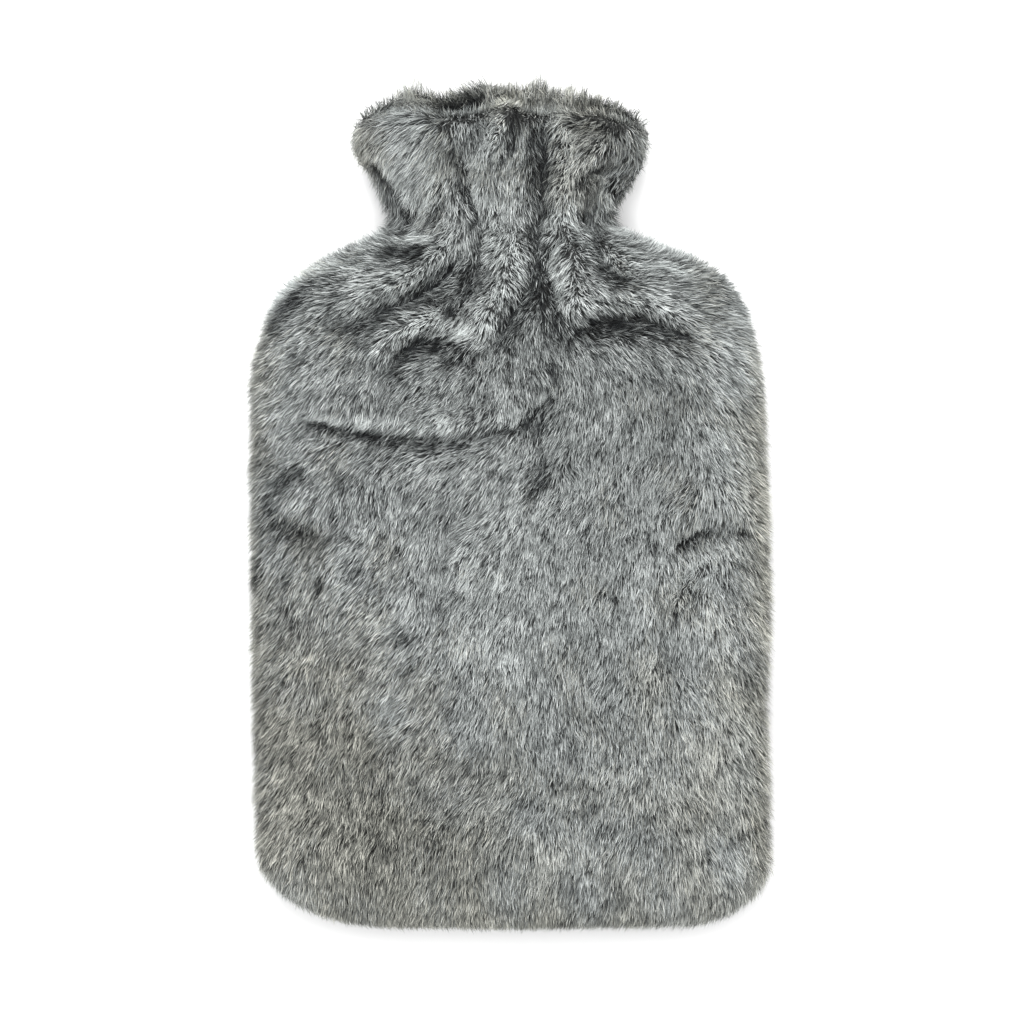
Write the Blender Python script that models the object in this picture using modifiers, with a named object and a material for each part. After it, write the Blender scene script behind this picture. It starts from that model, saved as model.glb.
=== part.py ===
"""A faux fur hot water bottle cover, lying on its back.

The cover is a pouch of two panels of long-pile cloth, sewn together round the
sides and the bottom. Each panel runs from the bottom seam over the shoulders
and the gathered neck to its own half of the open collar, where its edge is
turned in. Each solid is one panel: the cloth with its pile.

+X is the wearer's right, +Y runs up to the collar and +Z up from the surface.
The tables and named sizes are in millimetres, MM turns them into metres.
"""

import math
from collections import namedtuple

import bpy
import numpy as np

MM = 0.001

# Driving sizes
BOTTOM_Y = -174.6
MOUTH_Y = 150.0
SEAM_Z = 18.0
SEAM_GAP = 0.3
WALL = 7.0
# The inner face stays this far from the seams' level
SEAM_CLEAR = 0.8
# The underside is pressed this far flat against the surface
FLAT_PRESS = 1.3
# Lengths over which the crown and the underside round down to the bottom seam
CROWN_END = 44.0
CROWN_END_POWER = 2.2
UNDER_END = 34.0

# The turned-in edge of the collar: it rolls over by a share of the section's
# height, is thicker by HEM_EXTRA and ends in a nose of a share of the wall
HEM_ROLL = 0.24
HEM_ROLL_DEPTH = 11.0
HEM_DEPTH = 24.0
HEM_EXTRA = 1.8
HEM_NOSE = 0.5
# The rows bend into the rim's ruffle between these heights
RUFFLE_START = 117.0
RUFFLE_END = 143.0

# How finely each panel is divided
CORNER_ANGLES = (90, 79, 68, 56, 44, 30, 15, 0)
HEM_ROWS = (12.0, 8.0, 4.8, 2.4, 0.8, 0.0)
FINE_FROM = 26.0
ARC_SAMPLES = 2001

# How far the folds pass through to the inner face of the cloth
FOLD_SHARE = 0.4
# They fade towards the side seams, and over FOLD_EDGE from the bottom seam
FOLD_EDGE_POWER = 10
FOLD_EDGE = 30.0
# A fold has this share of its depth at its ends, and its whole depth from this
# share of its length on
FOLD_END_DEPTH = 0.45
FOLD_TAPER = 0.25
# A fold's ridge lies this many half widths beside it, and is this much wider
RIDGE_AWAY = 1.9
RIDGE_WIDTH = 1.1

Corner = namedtuple("Corner", "reach rise")
LEFT_CORNER = Corner(reach=55.0, rise=34.0)
RIGHT_CORNER = Corner(reach=40.0, rise=30.0)

# Cross-sections up the cover: how far the side seams lie to the left and the
# right, how high the front's crown and the back's underside are, and how
# square the section is
Section = namedtuple("Section", "y left right crown under power")
SECTIONS = (
    Section(-174.6, 104.5, 107.8, 49.0, 0.0, 2.7),
    Section(-124.8, 105.7, 107.8, 50.0, 0.0, 2.7),
    Section(-84.0, 106.4, 106.6, 49.5, 0.0, 2.7),
    Section(-43.2, 107.1, 108.0, 50.0, 0.0, 2.7),
    Section(20.0, 107.5, 106.0, 49.5, 0.0, 2.7),
    Section(50.6, 107.4, 104.4, 48.5, 0.0, 2.7),
    Section(66.9, 104.2, 101.4, 47.5, 0.0, 2.6),
    Section(83.2, 97.8, 95.9, 45.5, 0.1, 2.6),
    Section(91.4, 91.0, 90.8, 44.2, 0.8, 2.5),
    Section(99.6, 80.2, 79.8, 43.0, 2.2, 2.4),
    Section(106.1, 67.5, 64.2, 41.8, 3.8, 2.3),
    Section(110.0, 58.0, 53.5, 40.8, 4.7, 2.3),
    Section(114.0, 52.0, 45.6, 40.2, 5.0, 2.3),
    Section(119.0, 53.4, 45.6, 40.6, 4.8, 2.3),
    Section(126.0, 56.5, 50.0, 42.0, 4.0, 2.3),
    Section(135.0, 60.6, 55.2, 43.0, 2.8, 2.4),
    Section(142.0, 65.0, 57.2, 42.5, 1.8, 2.4),
    Section(150.0, 66.7, 58.8, 40.5, 1.2, 2.4),
)

# The two rims of the collar's mouth, across it
Rim = namedtuple("Rim", "x front back")
RIMS = (
    Rim(-66.7, 150.0, 150.0),
    Rim(-65.2, 153.0, 156.0),
    Rim(-61.0, 154.8, 160.6),
    Rim(-55.5, 156.2, 165.0),
    Rim(-49.2, 156.9, 168.5),
    Rim(-41.0, 157.5, 171.8),
    Rim(-32.8, 157.0, 171.4),
    Rim(-24.7, 157.0, 170.5),
    Rim(-16.5, 158.2, 173.4),
    Rim(-8.4, 161.2, 175.0),
    Rim(-0.2, 164.6, 173.0),
    Rim(8.0, 161.6, 173.4),
    Rim(16.1, 160.2, 173.4),
    Rim(24.3, 159.8, 170.6),
    Rim(32.4, 159.5, 170.1),
    Rim(40.6, 157.4, 166.9),
    Rim(48.8, 154.8, 163.2),
    Rim(54.5, 153.2, 158.2),
    Rim(57.8, 152.0, 154.2),
    Rim(58.8, 150.0, 150.0),
)

# Folds: a trough of a depth and half width along a bowed line, and a ridge
# beside it. The bow and the ridge lie to the left of the line from its start
# to its end, or to its right where they are below zero
Fold = namedtuple("Fold", "x0 y0 x1 y1 bow depth half ridge")
FRONT_FOLDS = (
    # pleats of the collar
    Fold(14.5, 156.0, 12.5, 108.0, 0.8, 5.5, 5.5, 0.0),
    Fold(-54.5, 135.0, -43.5, 111.0, 0.3, 3.0, 3.6, 0.0),
    Fold(-20.0, 142.0, -15.5, 118.0, 1.5, 4.0, 4.4, 0.0),
    Fold(-10.8, 117.0, -11.5, 91.0, 0.0, 4.0, 4.4, 0.0),
    Fold(50.0, 142.0, 31.0, 108.0, -2.0, 3.8, 6.0, -1.5),
    Fold(27.0, 151.0, 43.0, 151.5, 0.0, 2.4, 4.4, 0.0),
    Fold(28.4, 130.0, 47.5, 138.3, 1.5, 1.6, 3.4, 1.0),
    Fold(-1.0, 166.0, -5.0, 140.0, 1.5, -2.8, 4.8, 0.0),
    # the gather runs on over the shoulders
    Fold(-46.0, 106.0, -33.0, 105.5, 0.0, 2.8, 4.0, 0.0),
    Fold(-16.5, 104.5, -68.0, 74.5, 7.3, 5.2, 6.4, -2.2),
    Fold(12.5, 112.0, -5.0, 66.0, 3.0, 5.0, 5.0, -2.6),
    Fold(18.8, 106.0, 21.0, 80.0, -1.7, 4.4, 4.4, 2.6),
    Fold(35.0, 103.0, 44.5, 91.0, 0.0, 3.0, 4.4, 0.0),
    Fold(19.0, 66.5, 71.0, 68.5, 8.0, 6.0, 5.6, 3.2),
    Fold(-22.0, 66.5, -50.0, 53.5, -4.4, 4.2, 4.8, -2.8),
    # creases across the chest and the waist
    Fold(-81.0, 34.0, -12.0, 25.5, -3.8, 3.4, 4.3, 1.8),
    Fold(-12.0, 25.5, 17.5, 48.0, -3.2, 1.8, 4.6, 0.9),
    Fold(10.0, 40.0, 14.0, 8.0, 1.5, 2.0, 5.4, 0.0),
    Fold(-99.0, -4.0, -66.0, -11.5, -1.0, 2.8, 6.0, 1.2),
    Fold(65.0, -16.5, 99.0, -8.0, 2.0, 2.8, 6.0, 1.6),
    Fold(-20.0, 3.0, -29.0, -49.0, -1.5, 1.8, 6.0, 0.0),
    Fold(60.0, -59.0, 77.0, -65.5, 1.0, 1.7, 6.0, 0.0),
    Fold(83.0, -22.0, 67.0, -38.0, -2.0, 1.7, 6.0, 1.0),
    Fold(-46.0, -79.0, -67.0, -110.0, 0.0, 1.6, 7.0, 0.0),
)
BACK_FOLDS = (
    Fold(-36.0, 152.0, -29.0, 98.0, 0.0, 2.8, 5.0, 0.0),
    Fold(-9.0, 158.0, -7.0, 94.0, 0.0, 3.2, 5.5, 0.0),
    Fold(19.0, 155.0, 15.0, 97.0, 0.0, 2.8, 5.0, 0.0),
    Fold(42.0, 146.0, 35.0, 100.0, 0.0, 2.2, 4.5, 0.0),
)

# Soft lumps and hollows of the filled cover: height, and reach along x and y
Lump = namedtuple("Lump", "x y height reach_x reach_y")
FRONT_LUMPS = (
    Lump(-42.0, 145.0, 1.8, 17.0, 12.0),
    Lump(26.0, 122.0, 1.6, 7.0, 14.0),
    Lump(-36.0, 74.0, 1.4, 18.0, 7.0),
    Lump(-44.0, 45.0, 1.3, 30.0, 12.0),
    Lump(56.0, 38.0, 1.0, 26.0, 24.0),
    Lump(0.0, -30.0, 1.2, 22.0, 42.0),
    Lump(-66.0, -62.0, -0.9, 26.0, 34.0),
    Lump(66.0, -78.0, 1.0, 24.0, 30.0),
    Lump(-8.0, -112.0, -0.8, 40.0, 20.0),
    Lump(-46.0, -138.0, 0.8, 24.0, 18.0),
    Lump(46.0, -132.0, -0.7, 22.0, 16.0),
)

# A panel: the face it turns out (1 up, -1 down), the number of columns, the
# row pitches on the body and on the gathered part, its folds and lumps
Panel = namedtuple("Panel", "name face columns body_pitch fine_pitch folds lumps")
PANELS = (
    Panel("front_panel", 1, 42, 9.0, 4.7, FRONT_FOLDS, FRONT_LUMPS),
    Panel("back_panel", -1, 26, 13.0, 6.4, BACK_FOLDS, ()),
)

FUR_GREY = (0.25, 0.26, 0.255, 1.0)
FUR_ROUGHNESS = 0.95


def clear_scene():
    """Remove every object that the new file holds."""
    for old in list(bpy.data.objects):
        bpy.data.objects.remove(old)


def column(table, name):
    """Return one named column of a table as an array."""
    return np.array([getattr(row, name) for row in table])


def read_smoothly(knots, values, at):
    """Read a smooth curve through the knots that never overshoots them."""
    steps = np.diff(knots)
    slopes = np.diff(values) / steps
    before, after = slopes[:-1], slopes[1:]
    same_way = before * after > 0
    total = np.where(same_way, before + after, 1.0)
    inner = np.where(same_way, 2.0 * before * after / total, 0.0)
    tangents = np.concatenate(([slopes[0]], inner, [slopes[-1]]))
    place = np.clip(np.searchsorted(knots, at, side="right") - 1, 0, len(steps) - 1)
    step = steps[place]
    t = np.clip((at - knots[place]) / step, 0.0, 1.0)
    rest = 1.0 - t
    ends = values[place] * (1 + 2 * t) * rest**2 + values[place + 1] * (3 - 2 * t) * t**2
    return ends + step * (tangents[place] * t * rest**2 - tangents[place + 1] * rest * t**2)


def section_value(name, y):
    """Read a column of SECTIONS at the heights y."""
    return read_smoothly(column(SECTIONS, "y"), column(SECTIONS, name), y)


def smooth_step(start, end, at):
    """Rise smoothly from 0 at start to 1 at end."""
    t = np.clip((at - start) / (end - start), 0.0, 1.0)
    return t * t * (3.0 - 2.0 * t)


def round_arc(t, power=2.0):
    """Return the height of a rounded end: 0 at t = 0 and 1 from t = 1 on."""
    return (1.0 - (1.0 - np.clip(t, 0.0, 1.0)) ** power) ** (1.0 / power)


def corner_cut(corner, y):
    """Return how far a bottom corner draws the side in at the height y."""
    return corner.reach * (1.0 - round_arc((y - BOTTOM_Y) / corner.rise))


def side_reach(u, y):
    """Return x where the share u of the half width is reached at height y."""
    left = section_value("left", y) - corner_cut(LEFT_CORNER, y)
    right = section_value("right", y) - corner_cut(RIGHT_CORNER, y)
    return np.where(u < 0, left, right) * u


def row_heights(panel):
    """Return the heights of the rows, from the bottom seam to the mouth."""
    corner_top = BOTTOM_Y + LEFT_CORNER.rise
    corner = [corner_top - LEFT_CORNER.rise * math.sin(math.radians(a)) for a in CORNER_ANGLES]
    body_rows = round((FINE_FROM - corner_top) / panel.body_pitch)
    body = np.linspace(corner_top, FINE_FROM, body_rows + 1)[1:]
    hem = [MOUTH_Y - depth for depth in HEM_ROWS]
    fine_rows = round((hem[0] - FINE_FROM) / panel.fine_pitch)
    fine = np.linspace(FINE_FROM, hem[0], fine_rows + 1)[1:-1]
    return np.concatenate((corner, body, fine, hem))


def column_shares(panel):
    """Return the columns' places, evenly spaced along the body's section."""
    half_width, crown, power = (section_value(name, 0.0) for name in ("left", "crown", "power"))
    u = 1.0 - np.linspace(1.0, 0.0, ARC_SAMPLES) ** 3
    z = (crown - SEAM_Z) * (1.0 - u**power) ** (1.0 / power)
    along = np.concatenate(([0.0], np.cumsum(np.hypot(np.diff(u) * half_width, np.diff(z)))))
    half = np.interp(np.linspace(0.0, along[-1], panel.columns // 2 + 1), along, u)
    return np.concatenate((-half[:0:-1], half))


def rim_lift(panel, u):
    """Return how far a panel's rim stands above the mouth's corners."""
    x = side_reach(u, np.full_like(u, MOUTH_Y))
    rim = column(RIMS, "front" if panel.face > 0 else "back")
    return read_smoothly(column(RIMS, "x"), rim, x) - MOUTH_Y


def place_panel(panel, u, y):
    """Return the smooth outer face of a panel at shares u and row heights y."""
    edge = "crown" if panel.face > 0 else "under"
    end = CROWN_END if panel.face > 0 else UNDER_END
    rise = np.abs(section_value(edge, y) - SEAM_Z)
    press = 0.0 if panel.face > 0 else FLAT_PRESS
    power = section_value("power", y)
    section = (1.0 - np.abs(u) ** power) ** (1.0 / power)
    bottom = round_arc((y - BOTTOM_Y) / end, CROWN_END_POWER)
    roll = 1.0 - HEM_ROLL * (1.0 - round_arc((MOUTH_Y - y) / HEM_ROLL_DEPTH))
    z = SEAM_Z + panel.face * (SEAM_GAP / 2 + (rise + press) * bottom * roll * section)
    lift = rim_lift(panel, u) * smooth_step(RUFFLE_START, RUFFLE_END, y)
    return np.stack((side_reach(u, y), y + lift, np.maximum(z, 0.0)), axis=1)


def fold_height(fold, x, y):
    """Return how far one fold raises (or sinks) the cloth at each x, y."""
    along_x, along_y = fold.x1 - fold.x0, fold.y1 - fold.y0
    length = math.hypot(along_x, along_y)
    along_x, along_y = along_x / length, along_y / length
    t = ((x - fold.x0) * along_x + (y - fold.y0) * along_y) / length
    bow = fold.bow * 4.0 * np.clip(t, 0, 1) * (1.0 - np.clip(t, 0, 1))
    away = (y - fold.y0) * along_x - (x - fold.x0) * along_y - bow
    past = np.maximum(np.abs(t - 0.5) - 0.5, 0.0) * length / fold.half
    deepen = smooth_step(0.0, FOLD_TAPER, 0.5 - np.abs(t - 0.5))
    fade = np.exp(-past**2) * (FOLD_END_DEPTH + (1.0 - FOLD_END_DEPTH) * deepen)
    trough = -fold.depth * np.exp(-((away / fold.half) ** 2))
    beside = (np.sign(fold.ridge) * away / fold.half - RIDGE_AWAY) / RIDGE_WIDTH
    return fade * (trough + abs(fold.ridge) * np.exp(-(beside**2)))


def lump_height(lump, x, y):
    """Return the height of one soft lump at each x, y."""
    away = ((x - lump.x) / lump.reach_x) ** 2 + ((y - lump.y) / lump.reach_y) ** 2
    return lump.height * np.exp(-away)


def relief(panel, x, y, u):
    """Return how far all folds and lumps move a panel's outer face out."""
    height = sum((fold_height(fold, x, y) for fold in panel.folds), np.zeros_like(x))
    height += sum((lump_height(lump, x, y) for lump in panel.lumps), np.zeros_like(x))
    in_from_sides = 1.0 - np.abs(u) ** FOLD_EDGE_POWER
    in_from_bottom = smooth_step(0.0, FOLD_EDGE, y - BOTTOM_Y)
    return height * in_from_sides * in_from_bottom


def get_points(mesh):
    """Return a mesh's points, in millimetres."""
    points = np.empty(len(mesh.vertices) * 3)
    mesh.vertices.foreach_get("co", points)
    return points.reshape(-1, 3) / MM


def set_points(mesh, points):
    """Set a mesh's points, given in millimetres."""
    mesh.vertices.foreach_set("co", (points * MM).ravel())
    mesh.update()


def get_normals(mesh):
    """Return the mesh's normals at its points."""
    normals = np.empty(len(mesh.vertices) * 3)
    mesh.vertex_normals.foreach_get("vector", normals)
    return normals.reshape(-1, 3)


def seam_inward(u, y):
    """Return the way in from the side and bottom seams, level, at each u, y."""
    small = 0.05
    edge = np.where(u < 0, -1.0, 1.0)
    y_low = np.clip(y - small, BOTTOM_Y, MOUTH_Y)
    y_high = np.clip(y + small, BOTTOM_Y, MOUTH_Y)
    along_x = side_reach(edge, y_high) - side_reach(edge, y_low)
    along_y = y_high - y_low
    inward = np.stack((-edge * along_y, edge * along_x, np.zeros_like(u)), axis=1)
    inward /= np.linalg.norm(inward, axis=1)[:, None]
    on_bottom = (y <= BOTTOM_Y) & (np.abs(u) < 1.0)
    inward[on_bottom] = (0.0, 1.0, 0.0)
    return inward


def wall_thickness(y):
    """Return the thickness of the cloth: fuller at the turned-in edge."""
    depth = MOUTH_Y - y
    turned_in = smooth_step(0.0, HEM_ROLL_DEPTH / 2, depth)
    turned_in *= 1.0 - smooth_step(HEM_DEPTH - HEM_ROLL_DEPTH, HEM_DEPTH, depth)
    nose = HEM_NOSE + (1.0 - HEM_NOSE) * round_arc(depth / HEM_ROLL_DEPTH)
    return WALL * nose + HEM_EXTRA * turned_in


def lay_grid(panel):
    """Add a flat grid for a panel; return it with each point's share and row."""
    shares, heights = column_shares(panel), row_heights(panel)
    bpy.ops.mesh.primitive_grid_add(x_subdivisions=len(shares) - 1, y_subdivisions=len(heights) - 1, size=2.0)
    grid = bpy.context.object
    flat = get_points(grid.data) * MM
    columns = np.rint((flat[:, 0] + 1.0) / 2.0 * (len(shares) - 1)).astype(int)
    rows = np.rint((flat[:, 1] + 1.0) / 2.0 * (len(heights) - 1)).astype(int)
    return grid, shares[columns] * panel.face, heights[rows]


def make_panel(panel):
    """Build one panel: the shaped sheet, its wall, and then its folds."""
    sheet, u, y = lay_grid(panel)
    sheet.name = sheet.data.name = panel.name
    outer = place_panel(panel, u, y)
    set_points(sheet.data, outer)
    out = get_normals(sheet.data)
    wall = sheet.modifiers.new("Cloth and pile", "SOLIDIFY")
    wall.thickness = WALL * MM
    wall.offset = -1.0
    bpy.ops.object.modifier_apply(modifier=wall.name)

    height = relief(panel, outer[:, 0], outer[:, 1], u)[:, None]
    inner = outer - wall_thickness(y)[:, None] * out + FOLD_SHARE * height * out
    outer = outer + height * out
    outer[:, 2] = np.maximum(outer[:, 2], 0.0)
    over_seam = np.maximum(panel.face * (inner[:, 2] - SEAM_Z), SEAM_CLEAR)
    inner[:, 2] = SEAM_Z + panel.face * over_seam

    on_seam = (np.abs(u) >= 1.0) | (y <= BOTTOM_Y)
    inner[on_seam] = outer[on_seam] + WALL * seam_inward(u, y)[on_seam]
    inner[on_seam, 2] = outer[on_seam, 2]
    set_points(sheet.data, np.concatenate((outer, inner)))
    sheet.data.shade_smooth()
    sheet.data.materials.append(fur_material(panel.name))
    return sheet


def fur_material(name):
    """Return the plain grey fur material of one panel."""
    material = bpy.data.materials.new(name + "_fur")
    material.use_nodes = True
    shader = material.node_tree.nodes["Principled BSDF"]
    shader.inputs["Base Color"].default_value = FUR_GREY
    shader.inputs["Roughness"].default_value = FUR_ROUGHNESS
    shader.inputs["Metallic"].default_value = 0.0
    return material


def centre_on_origin(parts):
    """Move the meshes so that the origin lies under the middle of the whole."""
    corners = np.concatenate([get_points(part.data) for part in parts])
    low, high = corners.min(axis=0), corners.max(axis=0)
    shift = np.array([(low[0] + high[0]) / 2, (low[1] + high[1]) / 2, low[2]])
    for part in parts:
        set_points(part.data, get_points(part.data) - shift)


def main():
    """Build the cover in a collection of its own."""
    clear_scene()
    cover = bpy.data.collections.new("hot_water_bottle_cover")
    bpy.context.scene.collection.children.link(cover)
    parts = [make_panel(panel) for panel in PANELS]
    centre_on_origin(parts)
    for part in parts:
        for home in list(part.users_collection):
            home.objects.unlink(part)
        cover.objects.link(part)


main()
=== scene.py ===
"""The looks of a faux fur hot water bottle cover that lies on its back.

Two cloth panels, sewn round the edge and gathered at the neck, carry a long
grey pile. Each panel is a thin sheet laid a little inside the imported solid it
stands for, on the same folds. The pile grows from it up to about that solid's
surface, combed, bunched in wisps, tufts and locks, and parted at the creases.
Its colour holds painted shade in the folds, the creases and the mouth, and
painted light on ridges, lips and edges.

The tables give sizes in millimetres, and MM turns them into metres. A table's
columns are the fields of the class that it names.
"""

from __future__ import annotations

import logging
import math
from collections.abc import Callable
from dataclasses import dataclass, field
from enum import Enum
from typing import Any

import bpy
import numpy as np
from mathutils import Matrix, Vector

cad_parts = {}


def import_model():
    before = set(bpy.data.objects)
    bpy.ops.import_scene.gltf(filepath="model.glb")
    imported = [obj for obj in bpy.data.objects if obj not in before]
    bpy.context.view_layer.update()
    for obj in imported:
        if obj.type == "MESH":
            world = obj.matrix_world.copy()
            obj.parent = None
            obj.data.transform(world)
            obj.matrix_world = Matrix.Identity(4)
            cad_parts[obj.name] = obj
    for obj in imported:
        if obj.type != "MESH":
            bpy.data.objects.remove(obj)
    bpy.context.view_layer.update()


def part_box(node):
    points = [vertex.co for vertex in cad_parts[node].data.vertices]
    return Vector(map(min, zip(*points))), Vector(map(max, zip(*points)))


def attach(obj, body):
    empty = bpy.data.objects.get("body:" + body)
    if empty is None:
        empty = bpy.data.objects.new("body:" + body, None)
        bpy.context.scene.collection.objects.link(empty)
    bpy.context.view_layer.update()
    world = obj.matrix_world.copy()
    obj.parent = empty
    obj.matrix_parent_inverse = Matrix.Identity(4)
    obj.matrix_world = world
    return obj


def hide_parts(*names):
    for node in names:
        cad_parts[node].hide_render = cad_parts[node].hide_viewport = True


Array = np.ndarray
Node = bpy.types.Node
Span = tuple[float, float]
Triple = tuple[float, float, float]
log = logging.getLogger("cover")

MM = 0.001
BODY = "root"

BOTTOM_Y = -174.6
MOUTH_Y = 150
SEAM_Z = 18
SEAM_GAP = 0.3
WARMTH_SHELVES = 3


class Side(Enum):
    """Which panel: its value is the way it faces, 1 up and -1 down."""

    FRONT = 1
    BACK = -1


@dataclass(frozen=True)
class Section:
    """A cross-section: side seams, the front's and back's height, squareness."""

    y: float
    left: float
    right: float
    crown: float
    under: float
    power: float


@dataclass(frozen=True)
class Rim:
    """A place across the collar's mouth and the height of both rims there."""

    x: float
    front: float
    back: float


@dataclass(frozen=True)
class Corner:
    """A bottom corner of the outline, a quarter of an ellipse."""

    reach: float
    rise: float


@dataclass(frozen=True)
class Fold:
    """A trough along a bowed line, with a ridge beside it."""

    x0: float
    y0: float
    x1: float
    y1: float
    bow: float
    depth: float
    half: float
    ridge: float


@dataclass(frozen=True)
class Crease:
    """A sharp line where the pile parts: x, y and strength at each place.

    The pile on the left of the way along it hangs over the line, and lies with
    that way where lie is 1 and against it where lie is -1.
    """

    places: tuple[Triple, ...]
    lie: float = -1
    half: float = 1.5
    spread: float = 3
    lip_away: float = 3.2
    lip_half: float = 2.3
    end_fade: float = 2
    wobble: float = 0.45
    # How dark the slit is drawn: painted shade along a crease.
    dark: float = 1
    under: float = 1
    cut: float = 1
    lip_share: float = 1
    shade_away: float = 0.6
    shade_half: float = 0.75

    def read(self, x: Array, y: Array) -> tuple[Array, Array, Array, Array]:
        """Return how places lie to the line.

        Args:
            x: places across the cover.
            y: places along it.

        Returns:
            The slit, the shade below it and the lip, each from 0 to 1, and the
            way the lip's pile lies.
        """
        away, best = np.zeros_like(x), np.full_like(x, np.inf)
        strength, way = np.zeros_like(x), np.zeros((*x.shape, 2))
        last = len(self.places) - 2
        for k, ((x0, y0, s0), (x1, y1, s1)) in enumerate(zip(self.places, self.places[1:])):
            length = math.hypot(x1 - x0, y1 - y0)
            along = np.array(((x1 - x0) / length, (y1 - y0) / length))
            t = ((x - x0) * along[0] + (y - y0) * along[1]) / length
            held = np.clip(t, 0, 1)
            off_x, off_y = x - x0 - held * (x1 - x0), y - y0 - held * (y1 - y0)
            distance = np.hypot(off_x, off_y)
            past = np.where(t < 0, -t * (k == 0), np.maximum(t - 1, 0) * (k == last)) * length
            nearer = distance < best
            best = np.where(nearer, distance, best)
            away = np.where(nearer, np.sign(along[0] * off_y - along[1] * off_x) * distance, away)
            fade = np.exp(-((past / self.end_fade) ** 2))
            strength = np.where(nearer, (s0 + (s1 - s0) * held) * fade, strength)
            way[nearer] = along
        away = away + self.wobble * (np.sin(1.1 * x + 0.4 * y) + np.sin(0.7 * y - 0.5 * x))
        slit = strength * np.exp(-((away / self.half) ** 2))
        lip = self.lip_share * strength
        lip *= np.exp(-(((away - self.lip_away) / self.lip_half) ** 2))
        below = (away + self.shade_away * self.spread) / (self.shade_half * self.spread)
        shade = self.under * strength * np.exp(-(below**2))
        return slit, shade, lip, self.lie * way * lip[..., None]


def mark(x0: float, y0: float, x1: float, y1: float, strength: float, half: float) -> Crease:
    """Return a short dark mark in the pile, which parts nothing."""
    places = ((x0, y0, strength), (x1, y1, strength))
    return Crease(
        places, half=half, spread=2 * half, lip_share=0, end_fade=half, wobble=0.2, cut=0
    )


def ridge(places: tuple[Triple, ...], lie: float, half: float) -> Crease:
    """Return a thin ridge of painted light whose pile lies along it."""
    return Crease(
        places, lie, half, lip_away=0, lip_half=half, end_fade=1.5, wobble=0.2, dark=0, under=0
    )


@dataclass(frozen=True)
class Comb:
    """The lie of the pile at a place: degrees to the right of straight down."""

    x: float
    y: float
    lean: float
    reach: float = 15


@dataclass(frozen=True)
class Patch:
    """A soft-edged patch of more or less of something, such as height or tone."""

    x: float
    y: float
    amount: float
    reach_x: float
    reach_y: float


@dataclass(frozen=True)
class Band:
    """A stretch of a panel whose pile is one piece.

    It runs from its first to its last row, as shares of the outer rows, with
    so many guard and under hairs on each square millimetre.
    """

    name: str
    first: float
    last: float
    guard: float
    under: float


def table(kind: Callable[..., Any], *rows: tuple[Any, ...]) -> tuple[Any, ...]:
    """Return a table's rows, each made into one of the kind given."""
    return tuple(kind(*row) for row in rows)


SECTIONS = table(
    Section,
    (-174.6, 104.5, 107.8, 49, 0, 2.7), (-124.8, 105.7, 107.8, 50, 0, 2.7),
    (-84, 106.4, 106.6, 49.5, 0, 2.7), (-43.2, 107.1, 108, 50, 0, 2.7),
    (20, 107.5, 106, 49.5, 0, 2.7), (50.6, 107.4, 104.4, 48.5, 0, 2.7),
    (66.9, 104.2, 101.4, 47.5, 0, 2.6), (83.2, 97.8, 95.9, 45.5, 0.1, 2.6),
    (91.4, 91, 90.8, 44.2, 0.8, 2.5), (99.6, 80.2, 79.8, 43, 2.2, 2.4),
    (106.1, 67.5, 64.2, 41.8, 3.8, 2.3), (110, 58, 53.5, 40.8, 4.7, 2.3),
    (114, 52, 45.6, 40.2, 5, 2.3), (119, 53.4, 45.6, 40.6, 4.8, 2.3), (126, 56.5, 50, 42, 4, 2.3),
    (135, 60.6, 55.2, 43, 2.8, 2.4), (142, 65, 57.2, 42.5, 1.8, 2.4),
    (150, 66.7, 58.8, 40.5, 1.2, 2.4),
)

# The front's rim stands up to 5 mm above its solid's.
RIMS = table(
    Rim,
    (-66.7, 150, 150), (-65.2, 153.6, 156), (-61, 156.6, 160.6), (-55.5, 159, 165),
    (-49.2, 161, 168.5), (-41, 162.6, 171.8), (-32.8, 161.8, 171.4), (-24.7, 160.6, 170.5),
    (-16.5, 161.4, 173.4), (-8.4, 163.2, 175), (-0.2, 164.6, 173), (8, 161.6, 173.4),
    (16.1, 161.8, 173.4), (24.3, 161.8, 170.6), (32.4, 161.8, 170.1), (40.6, 160.2, 166.9),
    (48.8, 157.4, 163.2), (54.5, 154.8, 158.2), (57.8, 152, 154.2), (58.8, 150, 150),
)

LEFT_CORNER = Corner(reach=55, rise=34)
RIGHT_CORNER = Corner(reach=40, rise=30)

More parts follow.
